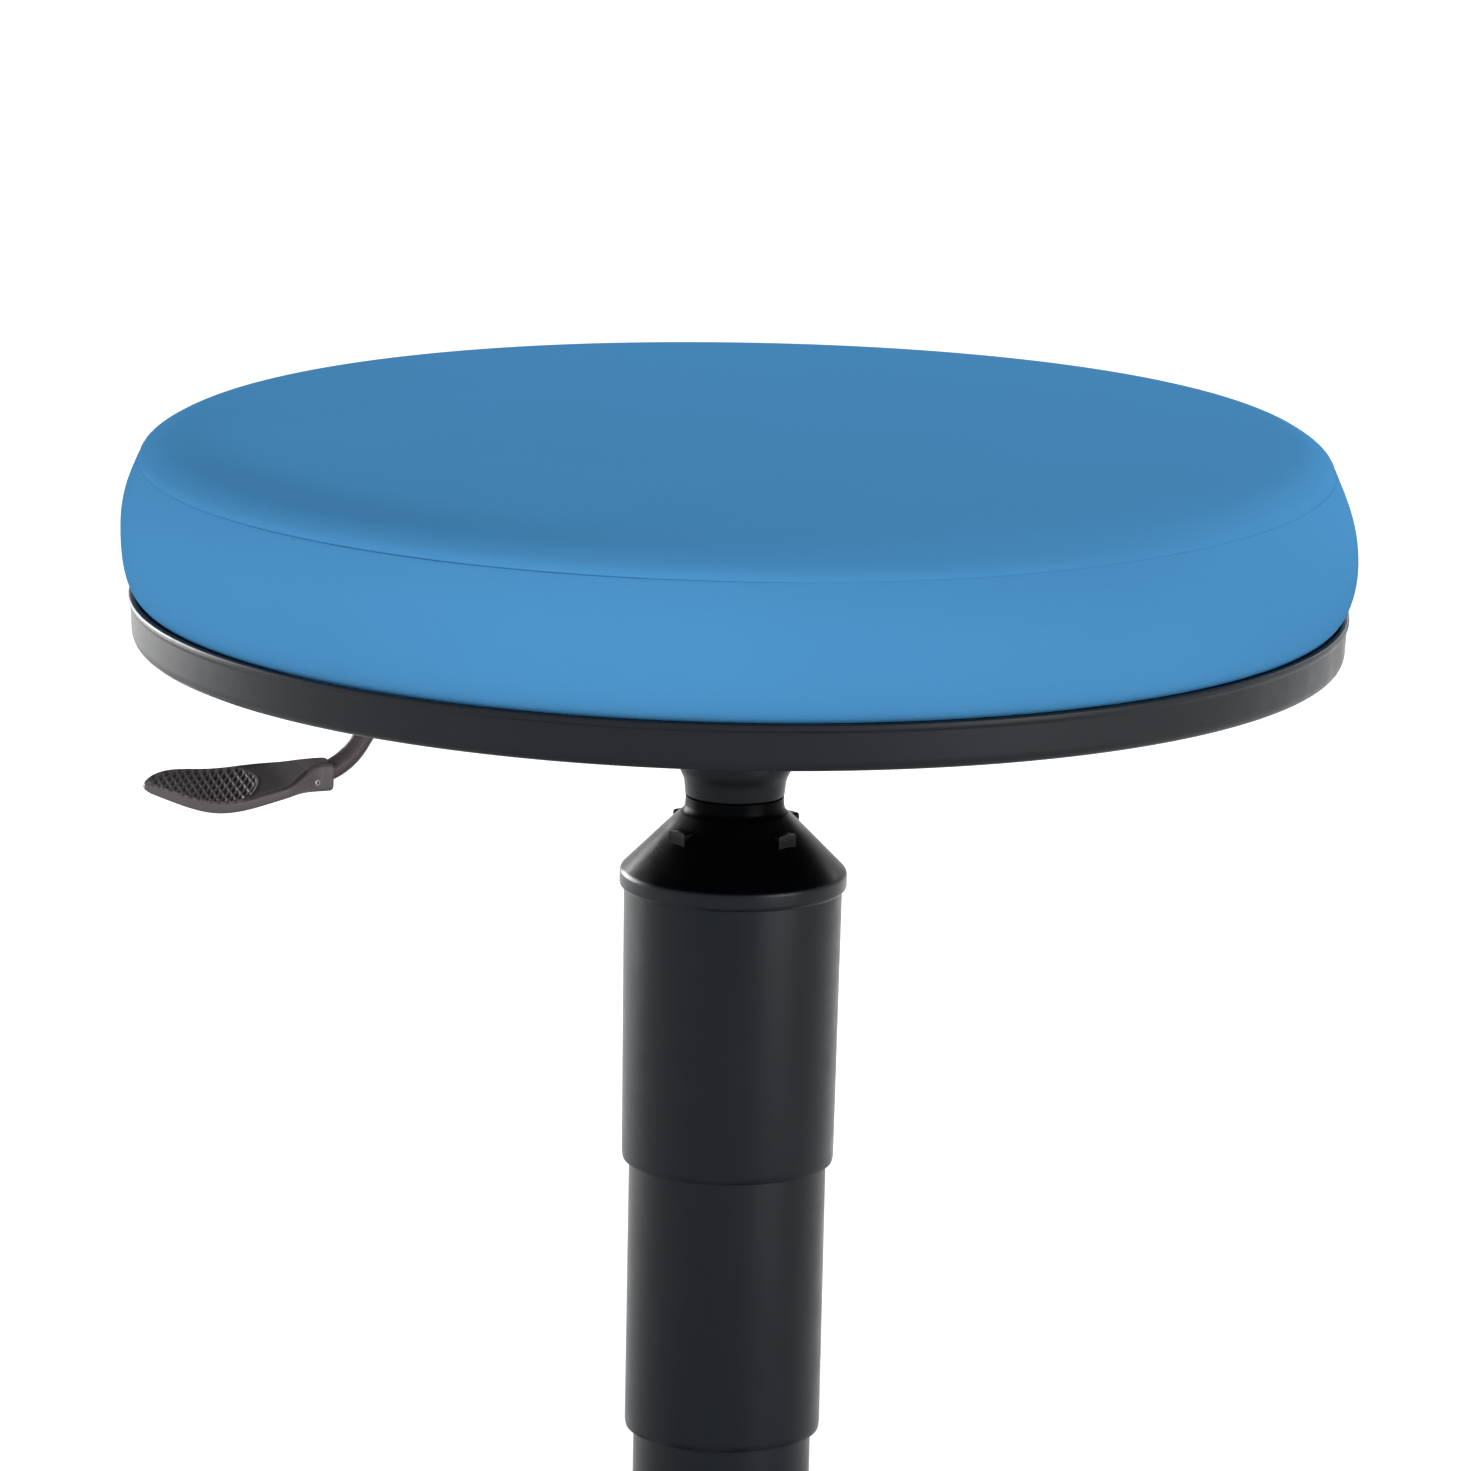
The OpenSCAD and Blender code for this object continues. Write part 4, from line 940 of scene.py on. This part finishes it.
def grip_surface():
    """The grip as a loft along u, from 0 at the rod to 1 at the tip. Each section is a rounded box
    whose half width, half thickness, middle and turn depend on u, with relief on its top."""
    g = bpy.context.scene.stool_lever
    u = [[0, 0.004, 0.012], np.linspace(0.03, 0.2, 16), np.linspace(0.21, 0.985, 230)]
    u = np.concatenate([*u, [0.99, 0.995, 0.998, 1.0]])[:, None]
    ferrule_w, ferrule_h, widest = 10 * MM, 8.9 * MM, 0.65
    opened = ease((u - 0.048) / 0.275)
    closing = np.maximum(0.06, 1 - (np.maximum(u - widest, 0) / (1.01 - widest)) ** 2) ** 0.95
    leaf = ferrule_w / 2 + (g.width - ferrule_w) / 2 * opened
    half_w = np.where(u < widest, leaf, g.width / 2 * closing)
    half_t = g.thickness / 2 + (ferrule_h - g.thickness) / 2 * (1 - opened)
    half_t = half_t - 0.2 * g.thickness * ease((u - 0.8) / 0.4)
    chamfer = 0.5 * MM * (1 - np.sqrt(ramp(u / 0.015)))
    half_w, half_t = half_w - chamfer, half_t - chamfer
    half_t = half_t * (0.35 + 0.65 * np.sqrt(ramp((1 - u) / 0.03)))
    middle = -2.8 * MM * (0.5 - 0.5 * np.cos(TURN * (np.maximum(0, u - 0.1) / 0.9) ** 1.2))
    middle = middle - 0.55 * MM * opened

    across, up, out, over = box_outline()
    corner = np.minimum(np.minimum(half_w, half_t) * 0.6, 1.6 * MM)
    x = -u * g.length
    y = across * (half_w - corner) + out * corner
    z = up * (half_t - corner) + over * corner
    z = z + np.where(over > 0.5, grip_relief(u, x, y, half_w), 0)
    turn = math.radians(11) * ease(u / 0.66)
    start_z = lever_path()[-1, 2] + 0.4 * MM
    turned_y, turned_z = y * np.cos(turn) - z * np.sin(turn), y * np.sin(turn) + z * np.cos(turn)
    return capped_tube(stacked(GRIP_START + x, turned_y, start_z + middle + turned_z))


def screw_part():
    """The head of the grip's screw as a surface of revolution with a round recess, in the near side
    of the ferrule, which widens there by about 0.4 mm a mm."""
    radii = mm(1.1, 1.1, 1.05, 0.9, 0.55, 0.45, 0.45)
    heights = mm(-1.2, 0.05, 0.15, 0.22, 0.22, 0.15, -0.2)
    head = capped_tube(turned(stacked(radii, heights), 48))
    aim = Vector((0.38, -1, 0)).to_track_quat("Z", "Y").to_matrix().to_4x4()
    along, aside, below = mm(5.4, 5.55, 0.8)
    middle = (GRIP_START - along, -aside, lever_path()[-1, 2] - below)
    return placed(head, Matrix.Translation(middle) @ aim)


class BendLever(bpy.types.Operator):
    """Makes the bent lever rod and the leaf-shaped grip with its crossing ridges and its screw"""

    bl_idname = "stool.bend_lever"
    bl_label = "Height lever"

    def execute(self, context):
        g = context.scene.stool_lever
        path = lever_path()
        path[0, 0] += 5 * MM
        piece("lever_tube", [swept(path, g.rod / 2, 40)], "lever_steel", "lever", ["lever_rod"])
        grip = piece("grip", [grip_surface()], "grip_plastic", "lever", ["lever_grip"], 28)
        x, y, _ = (vertex_data(grip) - [GRIP_START, 0, 0]).T
        start, stop = knurled_part(y)
        # Painted light and shade: the smooth upper face is darkened as if shaded, and in the knurled
        # field the grooves are darkened as shade and the ridges lightened as highlights.
        upper = vertex_data(grip, "normal")[:, 2] > 0.4
        shade = np.where(upper & (x < -0.16 * g.length), 0.1, 0.5)
        knurled = upper & (x < start) & (x > stop)
        marked(grip, "ridge", np.where(knurled, 0.05 + 0.85 * crossing_ridges(x, y), shade))
        slot, finish, head = "bright_steel", "screw_steel", [screw_part()]
        piece("grip_screw_head", head, slot, "lever", ["grip_screw"], 28, finish=finish)
        return {"FINISHED"}


# The base


def arm_at(share):
    """An arm at a share of its length: its place along X, half its width, its top, which falls as
    (1 - share)^1.5, and its lower edge."""
    b = bpy.context.scene.stool_base
    hub, tip_top, root_top = 30 * MM, BASE_LOW.z + 27 * MM, BASE_HIGH.z - 5 * MM
    half = b.root_width / 2 + (b.tip_width - b.root_width) / 2 * share
    top = tip_top + (root_top - tip_top) * (1 - share) ** 1.5
    return hub + share * (b.reach - hub), half, top, BASE_LOW.z + 14 * MM * (1 - share)


def arm_part():
    """One arm along +X as a wall between two surfaces, each a profile (edge, rounded corner,
    crowned top) carried out along one side, round the castor's stem and back."""
    out = np.linspace(0, 1, 30)
    round_stem = np.linspace(0, np.pi, 33)[1:-1]
    share = np.concatenate([out, np.ones(len(round_stem)), out[::-1]])
    heading = np.concatenate([0 * out, round_stem, np.full(len(out), np.pi)])[:, None]
    x, half, top, low = (values[:, None] for values in arm_at(share))
    a = np.radians(np.linspace(0, 90, 9))
    inward = np.linspace(1, 0, 7)[1:]
    crown = 1.4 * MM

    def skin(depth):
        """The surface at this depth under the arm's outside."""
        corner, w, high = 9 * MM - depth, half - depth, top - depth - crown
        flat = w - 1 * MM - corner
        side = np.concatenate([w, w - 0.4 * MM, flat + corner * np.cos(a), flat * inward], 1)
        lower = low + 0.45 * (high - corner - low)
        z = np.concatenate([low, lower, high - corner + corner * np.sin(a), high + 0 * inward], 1)
        rise = crown * (1 - (np.maximum(side, 0) / w) ** 2)
        z = z + np.where(np.arange(z.shape[1]) > 4, rise, 0)
        return stacked(x + side * np.sin(heading), side * np.cos(heading), z)

    wall = bpy.context.scene.stool_base.wall
    return sheet_with_wall(skin(0), skin(wall), ["first_row", "last_row", "first_column"])


def rib_part(along, low, high):
    """A thin upright bar along X whose edges follow the heights low and high."""
    half = 1.2 * MM
    corners = [(-half, low), (half, low), (half, high), (-half, high)]
    return bar(along, np.stack([stacked(y, z + 0 * along) for y, z in corners], 1))


def arm_ribs():
    """The ribs under an arm: one along it, a few across it and a sleeve round the stem, each ending
    inside the arm's wall."""
    b = bpy.context.scene.stool_base
    x, _, top, low = arm_at(np.linspace(0.02, 0.96, 24))
    parts = [rib_part(x, low + 0.6 * MM, top - 1.2 * MM)]
    for number in range(1, b.ribs + 1):
        x, half, top, low = arm_at(number / (b.ribs + 1))
        w = half - 1.5 * MM
        y = np.linspace(-w, w, 25)
        bend = np.clip((np.abs(y) - w + 8 * MM) / (9 * MM), 0, 0.99)
        high = top - 2.6 * MM - 9 * MM * (1 - np.sqrt(1 - bend**2))
        rib = rib_part(y, low + 0.6 * MM, high)
        parts.append(placed(rib, Matrix.Translation((x, 0, 0)) @ about_z(90)))
    ring = [[5.62, 0], [8.5, 0], [8.5, 25.5], [5.62, 25.5]]
    sleeve = spun_ring(ring, 0.4, 3, 64, BASE_LOW.z)
    return parts + [placed(sleeve, Matrix.Translation((b.reach, 0, 0)))]


def arm_turn(number):
    """The turn from +X to an arm's direction."""
    return about_z(-90 + 72 * number)


class MouldBase(bpy.types.Operator):
    """Makes the five-armed base with its hub and ribs"""

    bl_idname = "stool.mould_base"
    bl_label = "Base"

    def execute(self, context):
        hub = [[25, 0], [41.5, 0], [43, 1.5], [38, 52], [37, 60], [35.5, 64], [26.6, 64]]
        parts = [spun_ring(hub, [0.4, 1, 1, 5, 3, 1.6, 0.6], 6, 160, BASE_LOW.z + 8 * MM)]
        arm = [arm_part(), *arm_ribs()]
        parts += [placed(part, arm_turn(number)) for number in range(CASTORS) for part in arm]
        piece("base_shell", parts, "base_plastic", "base", ["star_base"], 30)
        return {"FINISHED"}


# The castors


def castor_place(number):
    """A castor's own frame: stem along Z, axle along Y, turned 70 degrees from its arm."""
    out = Matrix.Translation((bpy.context.scene.stool_base.reach, 0, 0))
    return arm_turn(number) @ out @ about_z(70)


def about_axle(part):
    """Lays a part that was spun about Z on the castor's axle, with its Z along Y."""
    lay = Matrix.Rotation(-np.pi / 2, 4, "X")
    return placed(part, Matrix.Translation((TRAIL, 0, AXLE_HEIGHT)) @ lay)


def hood_part():
    """The hood over both wheels: an arch of constant wall, its radius falling off at both sides as
    a quarter circle."""
    a = np.radians(np.linspace(196, 19, 60))[:, None]
    half = 22.5 * MM
    y = np.linspace(-1, 1, 41) * half
    skins = []
    for radius, fall in (mm(29.1, 5.0), mm(26.6, 3.4)):
        over = ramp((np.abs(y) - half + fall) / fall)
        r = radius - fall * (1 - np.sqrt(1 - 0.98 * over**2))
        skins.append(stacked(TRAIL + r * np.cos(a), y, AXLE_HEIGHT + r * np.sin(a)))
    return sheet_with_wall(*skins, ["first_row", "last_row", "first_column", "last_column"])


def web_part():
    """The housing's middle web: a disc between the wheels, cut level below, with round edges."""
    disc = [[3.05, -6], [26.8, -6], [26.8, 6], [3.05, 6]]
    points, faces = about_axle(spun_ring(disc, [0.4, 0.8, 0.8, 0.4], 4, 128))
    level = 9 * MM
    points[:, 2] = np.maximum(points[:, 2], level + 0.02 * (points[:, 2] - level))
    return points, faces


def neck_part():
    """The housing's neck under the arm, a round boss that widens into the hood."""
    ring = [[4.05, 43], [12.5, 45.5], [10.5, 49], [9, 53], [9, 59.7], [4.05, 59.7]]
    return spun_ring(ring, [0.3, 1.5, 2, 2, 0.8, 0.3], 5, 96)


def wheel_part(outline, cuts, side, pockets=False):
    """A wheel's ring spun about its axle, side 1 on +Y and -1 on -Y. Its outer face may have seven
    shallow pockets: depth * bump(r) * (0.5 + 0.5 tanh(3 cos 7a))."""
    grid = turned(softened(outline, cuts, 5) * MM, 168)
    if pockets:
        angle, r = polar(grid)
        band = ramp((r - 9.5 * MM) / (1.2 * MM)) * ramp((17 * MM - r) / (1.2 * MM))
        outer_face = grid[..., 2] > 10 * MM
        dips = 0.5 + 0.5 * np.tanh(3 * np.cos(7 * angle))
        grid[..., 2] -= 1.3 * MM * band * outer_face * dips
    points, faces = closed_ring(grid + [0, 0, 6.5 * MM])
    if side < 0:
        points, faces = points * (1, 1, -1), faces[:, ::-1]
    return about_axle((points, faces))


class RollCastors(bpy.types.Operator):
    """Makes the castors' housings and their twin wheels"""

    bl_idname = "stool.roll_castors"
    bl_label = "Castors"

    def execute(self, context):
        b = context.scene.stool_base
        r, w = b.wheel_radius / MM, b.wheel_width / MM
        core = [[3.1, 0], [8, 0], [8, w - 6], [18.5, w - 7], [18.5, 1], [r - 3, 1]]
        core += [[r - 3, w - 1.6], [r - 6, w - 0.5], [r - 8, w - 2.2], [9.5, w - 1.4]]
        core += [[8, w], [0.4, w], [0.4, w - 2.5], [3.1, w - 2.5]]
        core_cuts = [0.2, 0.4, 0.5, 0.5, 0.4, 0.4, 0.5, 0.8, 1.2, 0.8, 0.8, 0.1, 0.1, 0.2]
        band = [[r - 3, 1.2], [r - 1, 1.2], [r, 3.4]]
        band += [[r, w - 4.6], [r - 1, w - 2.4], [r - 3, w - 2.4]]
        band_cuts = [0.2, 0.6, 1.4, 1.4, 0.6, 0.2]
        housing = [hood_part(), web_part(), neck_part()]
        wheels = [
            (word, wheel_part(core, core_cuts, side, True), wheel_part(band, band_cuts, side))
            for word, side in (("left", 1), ("right", -1))
        ]
        for number in range(CASTORS):
            name, place = f"castor_{number + 1}", castor_place(number)
            body = [placed(part, place) for part in housing]
            piece(f"{name}_hood", body, "castor_plastic", name, [f"{name}_housing"], 32)
            for word, disc, tread in wheels:
                wheel, rider = f"{name}_wheel_{word}", f"{name}_{word}"
                disc, tread = placed(disc, place), placed(tread, place)
                piece(f"{wheel}_disc", [disc], "wheel_plastic", rider, [wheel])
                piece(f"{wheel}_tread", [tread], "wheel_plastic", rider, finish="tread")
        return {"FINISHED"}


class FinishFrame(bpy.types.Operator):
    """Gives the frame's own parts their procedural materials"""

    bl_idname = "stool.finish_frame"
    bl_label = "Frame finishes"

    def execute(self, context):
        for name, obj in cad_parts.items():
            finish = NODE_FINISHES.get(name, "bright_steel")
            own = finish + "_frame"
            obj.data.materials.clear()
            obj.data.materials.append(bpy.data.materials.get(own) or FINISHES[finish](own))
        return {"FINISHED"}


# The stage


def light_room(scene):
    """A world of weak, slightly cool light that is white to the camera and in reflections."""
    scene.world = scene.world or bpy.data.worlds.new("studio")
    n = Tree(scene.world)
    soft = n.add("Background", (0.97, 0.99, 1, 1), 0.24)
    white = n.add("Background", (1, 1, 1, 1), 1.0)
    n.add("OutputWorld", n.add("MixShader", n.white_rays(), soft, white))


def floor_paper():
    """Pale paper that glows nearly white for the camera and in reflections, a little less near the
    stool, whose shadow it shows. The camera sees through it from below."""
    paper = bpy.data.materials.new("floor_paper")
    n = Tree(paper)
    far = n.add("VectorMath", n.add("TexCoord").outputs["Object"], operation="LENGTH")
    share = n.add("MapRange", far.outputs["Value"], 0.35, 1.3, 0.5, 0.96)
    glow = n.add("Emission")
    n.value(glow, "Strength", n.add("Math", n.white_rays(), share, operation="MULTIPLY"))
    both = n.add("AddShader", n.add("BsdfDiffuse", (0.5, 0.5, 0.5, 1)), glow)
    seen = n.add("LightPath").outputs["Is Camera Ray"]
    below = n.add("NewGeometry").outputs["Backfacing"]
    clear = n.add("Math", below, seen, operation="MULTIPLY")
    n.add("OutputMaterial", n.add("MixShader", clear, both, n.add("BsdfTransparent")))
    return paper


def lay_floor(scene):
    """A flat grid of 60 m, a little under the castors."""
    side = np.linspace(-30, 30, 9)
    points = stacked(side, side[:, None], -0.2 * MM)
    mesh = plain_mesh("floor", points, quads(9, 9, False, False))
    mesh.materials.append(floor_paper())
    floor = bpy.data.objects.new("floor", mesh)
    scene.collection.objects.link(floor)


def lamp(name, turn, away, height, size, power, gloss=True, dull=True):
    """A soft rectangular lamp aimed at the seat, this many degrees to the right of the camera. It
    may be left out of reflections, or of the light on dull surfaces."""
    data = bpy.data.lights.new(name, "AREA")
    data.shape, data.size, data.size_y, data.energy = "RECTANGLE", *size, power
    a = math.radians(CAMERA_TURN + turn)
    obj = bpy.data.objects.new(name, data)
    obj.location = (math.sin(a) * away, -math.cos(a) * away, height)
    seat = Vector((0, 0, 0.46))
    obj.rotation_euler = (seat - obj.location).to_track_quat("-Z", "Y").to_euler()
    obj.visible_glossy, obj.visible_diffuse = gloss, dull
    bpy.context.scene.collection.objects.link(obj)


def aim_camera(scene):
    """The photograph's camera: it looks at the tray's foot from its turn and rise, is rolled, and
    turns aside until the foot lies at its place in the picture."""
    camera = bpy.data.objects.new("camera", bpy.data.cameras.new("camera"))
    scene.collection.objects.link(camera)
    scene.camera = camera
    camera.data.sensor_width = 36
    camera.data.lens = FOCUS_PX * 36 / PICTURE_PX
    camera.data.clip_start, camera.data.clip_end = 0.05, 200
    turn, rise, roll = (math.radians(a) for a in (CAMERA_TURN, CAMERA_RISE, CAMERA_ROLL))
    level = math.cos(rise)
    back = Vector((math.sin(turn) * level, -math.cos(turn) * level, math.sin(rise)))
    camera.location = Vector((0, 0, TRAY_LOW.z)) + back * (FOCUS_PX / PX_PER_MM * MM)
    right, up = SEAT_PX[0] - MIDDLE_PX[0], MIDDLE_PX[1] - SEAT_PX[1]
    seen = Vector((right / FOCUS_PX, up / FOCUS_PX, -1)).normalized()
    straight = (-back).to_track_quat("-Z", "Y").to_matrix() @ Matrix.Rotation(roll, 3, "Z")
    aside = seen.rotation_difference(Vector((0, 0, -1))).to_matrix()
    camera.rotation_mode = "QUATERNION"
    camera.rotation_quaternion = (straight @ aside).to_quaternion()


class SetStage(bpy.types.Operator):
    """Sets the white floor, the soft lamps and the camera at the photograph's view"""

    bl_idname = "stool.set_stage"
    bl_label = "Stage"

    def execute(self, context):
        context.scene.view_settings.view_transform = "Standard"
        light_room(context.scene)
        lay_floor(context.scene)
        lamp("front_left", -63, 2.6, 0.98, (1.7, 0.36), 42, gloss=False)
        lamp("front_right", 39, 2.6, 0.64, (1.7, 0.36), 40, gloss=False)
        lamp("band_right", 50, 2.5, 0.65, (1.5, 1.2), 36, dull=False)
        lamp("edge_left", -130, 2.2, 0.6, (1.5, 0.9), 76, dull=False)
        lamp("key_back", 150, 2.1, 1.99, (1.6, 1.6), 52)
        aim_camera(context.scene)
        return {"FINISHED"}


OPERATORS = [
    SetStage,
    FinishFrame,
    SewSeatPad,
    MouldTray,
    FitColumnCover,
    WeldSocket,
    BendLever,
    MouldBase,
    RollCastors,
]


class StoolPanel(bpy.types.Panel):
    """Lists the stool's operators and sizes"""

    bl_idname = "VIEW3D_PT_stool"
    bl_label = "Lab stool"
    bl_space_type = "VIEW_3D"
    bl_region_type = "UI"
    bl_category = "Stool"

    def draw(self, context):
        for operator in OPERATORS:
            self.layout.operator(operator.bl_idname)
        for name, group in GROUPS.items():
            box = self.layout.box()
            for key in group.__annotations__:
                box.prop(getattr(context.scene, name), key)


CLASSES = [*GROUPS.values(), *OPERATORS, StoolPanel]


def register():
    for one in CLASSES:
        bpy.utils.register_class(one)
    for name, group in GROUPS.items():
        setattr(bpy.types.Scene, name, PointerProperty(type=group))


def unregister():
    for name in GROUPS:
        delattr(bpy.types.Scene, name)
    for one in reversed(CLASSES):
        bpy.utils.unregister_class(one)


def main():
    """Makes every piece in order."""
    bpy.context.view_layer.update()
    register()
    for operator in OPERATORS:
        getattr(bpy.ops.stool, operator.bl_idname.split(".")[1])()


if __name__ == "__main__":
    main()
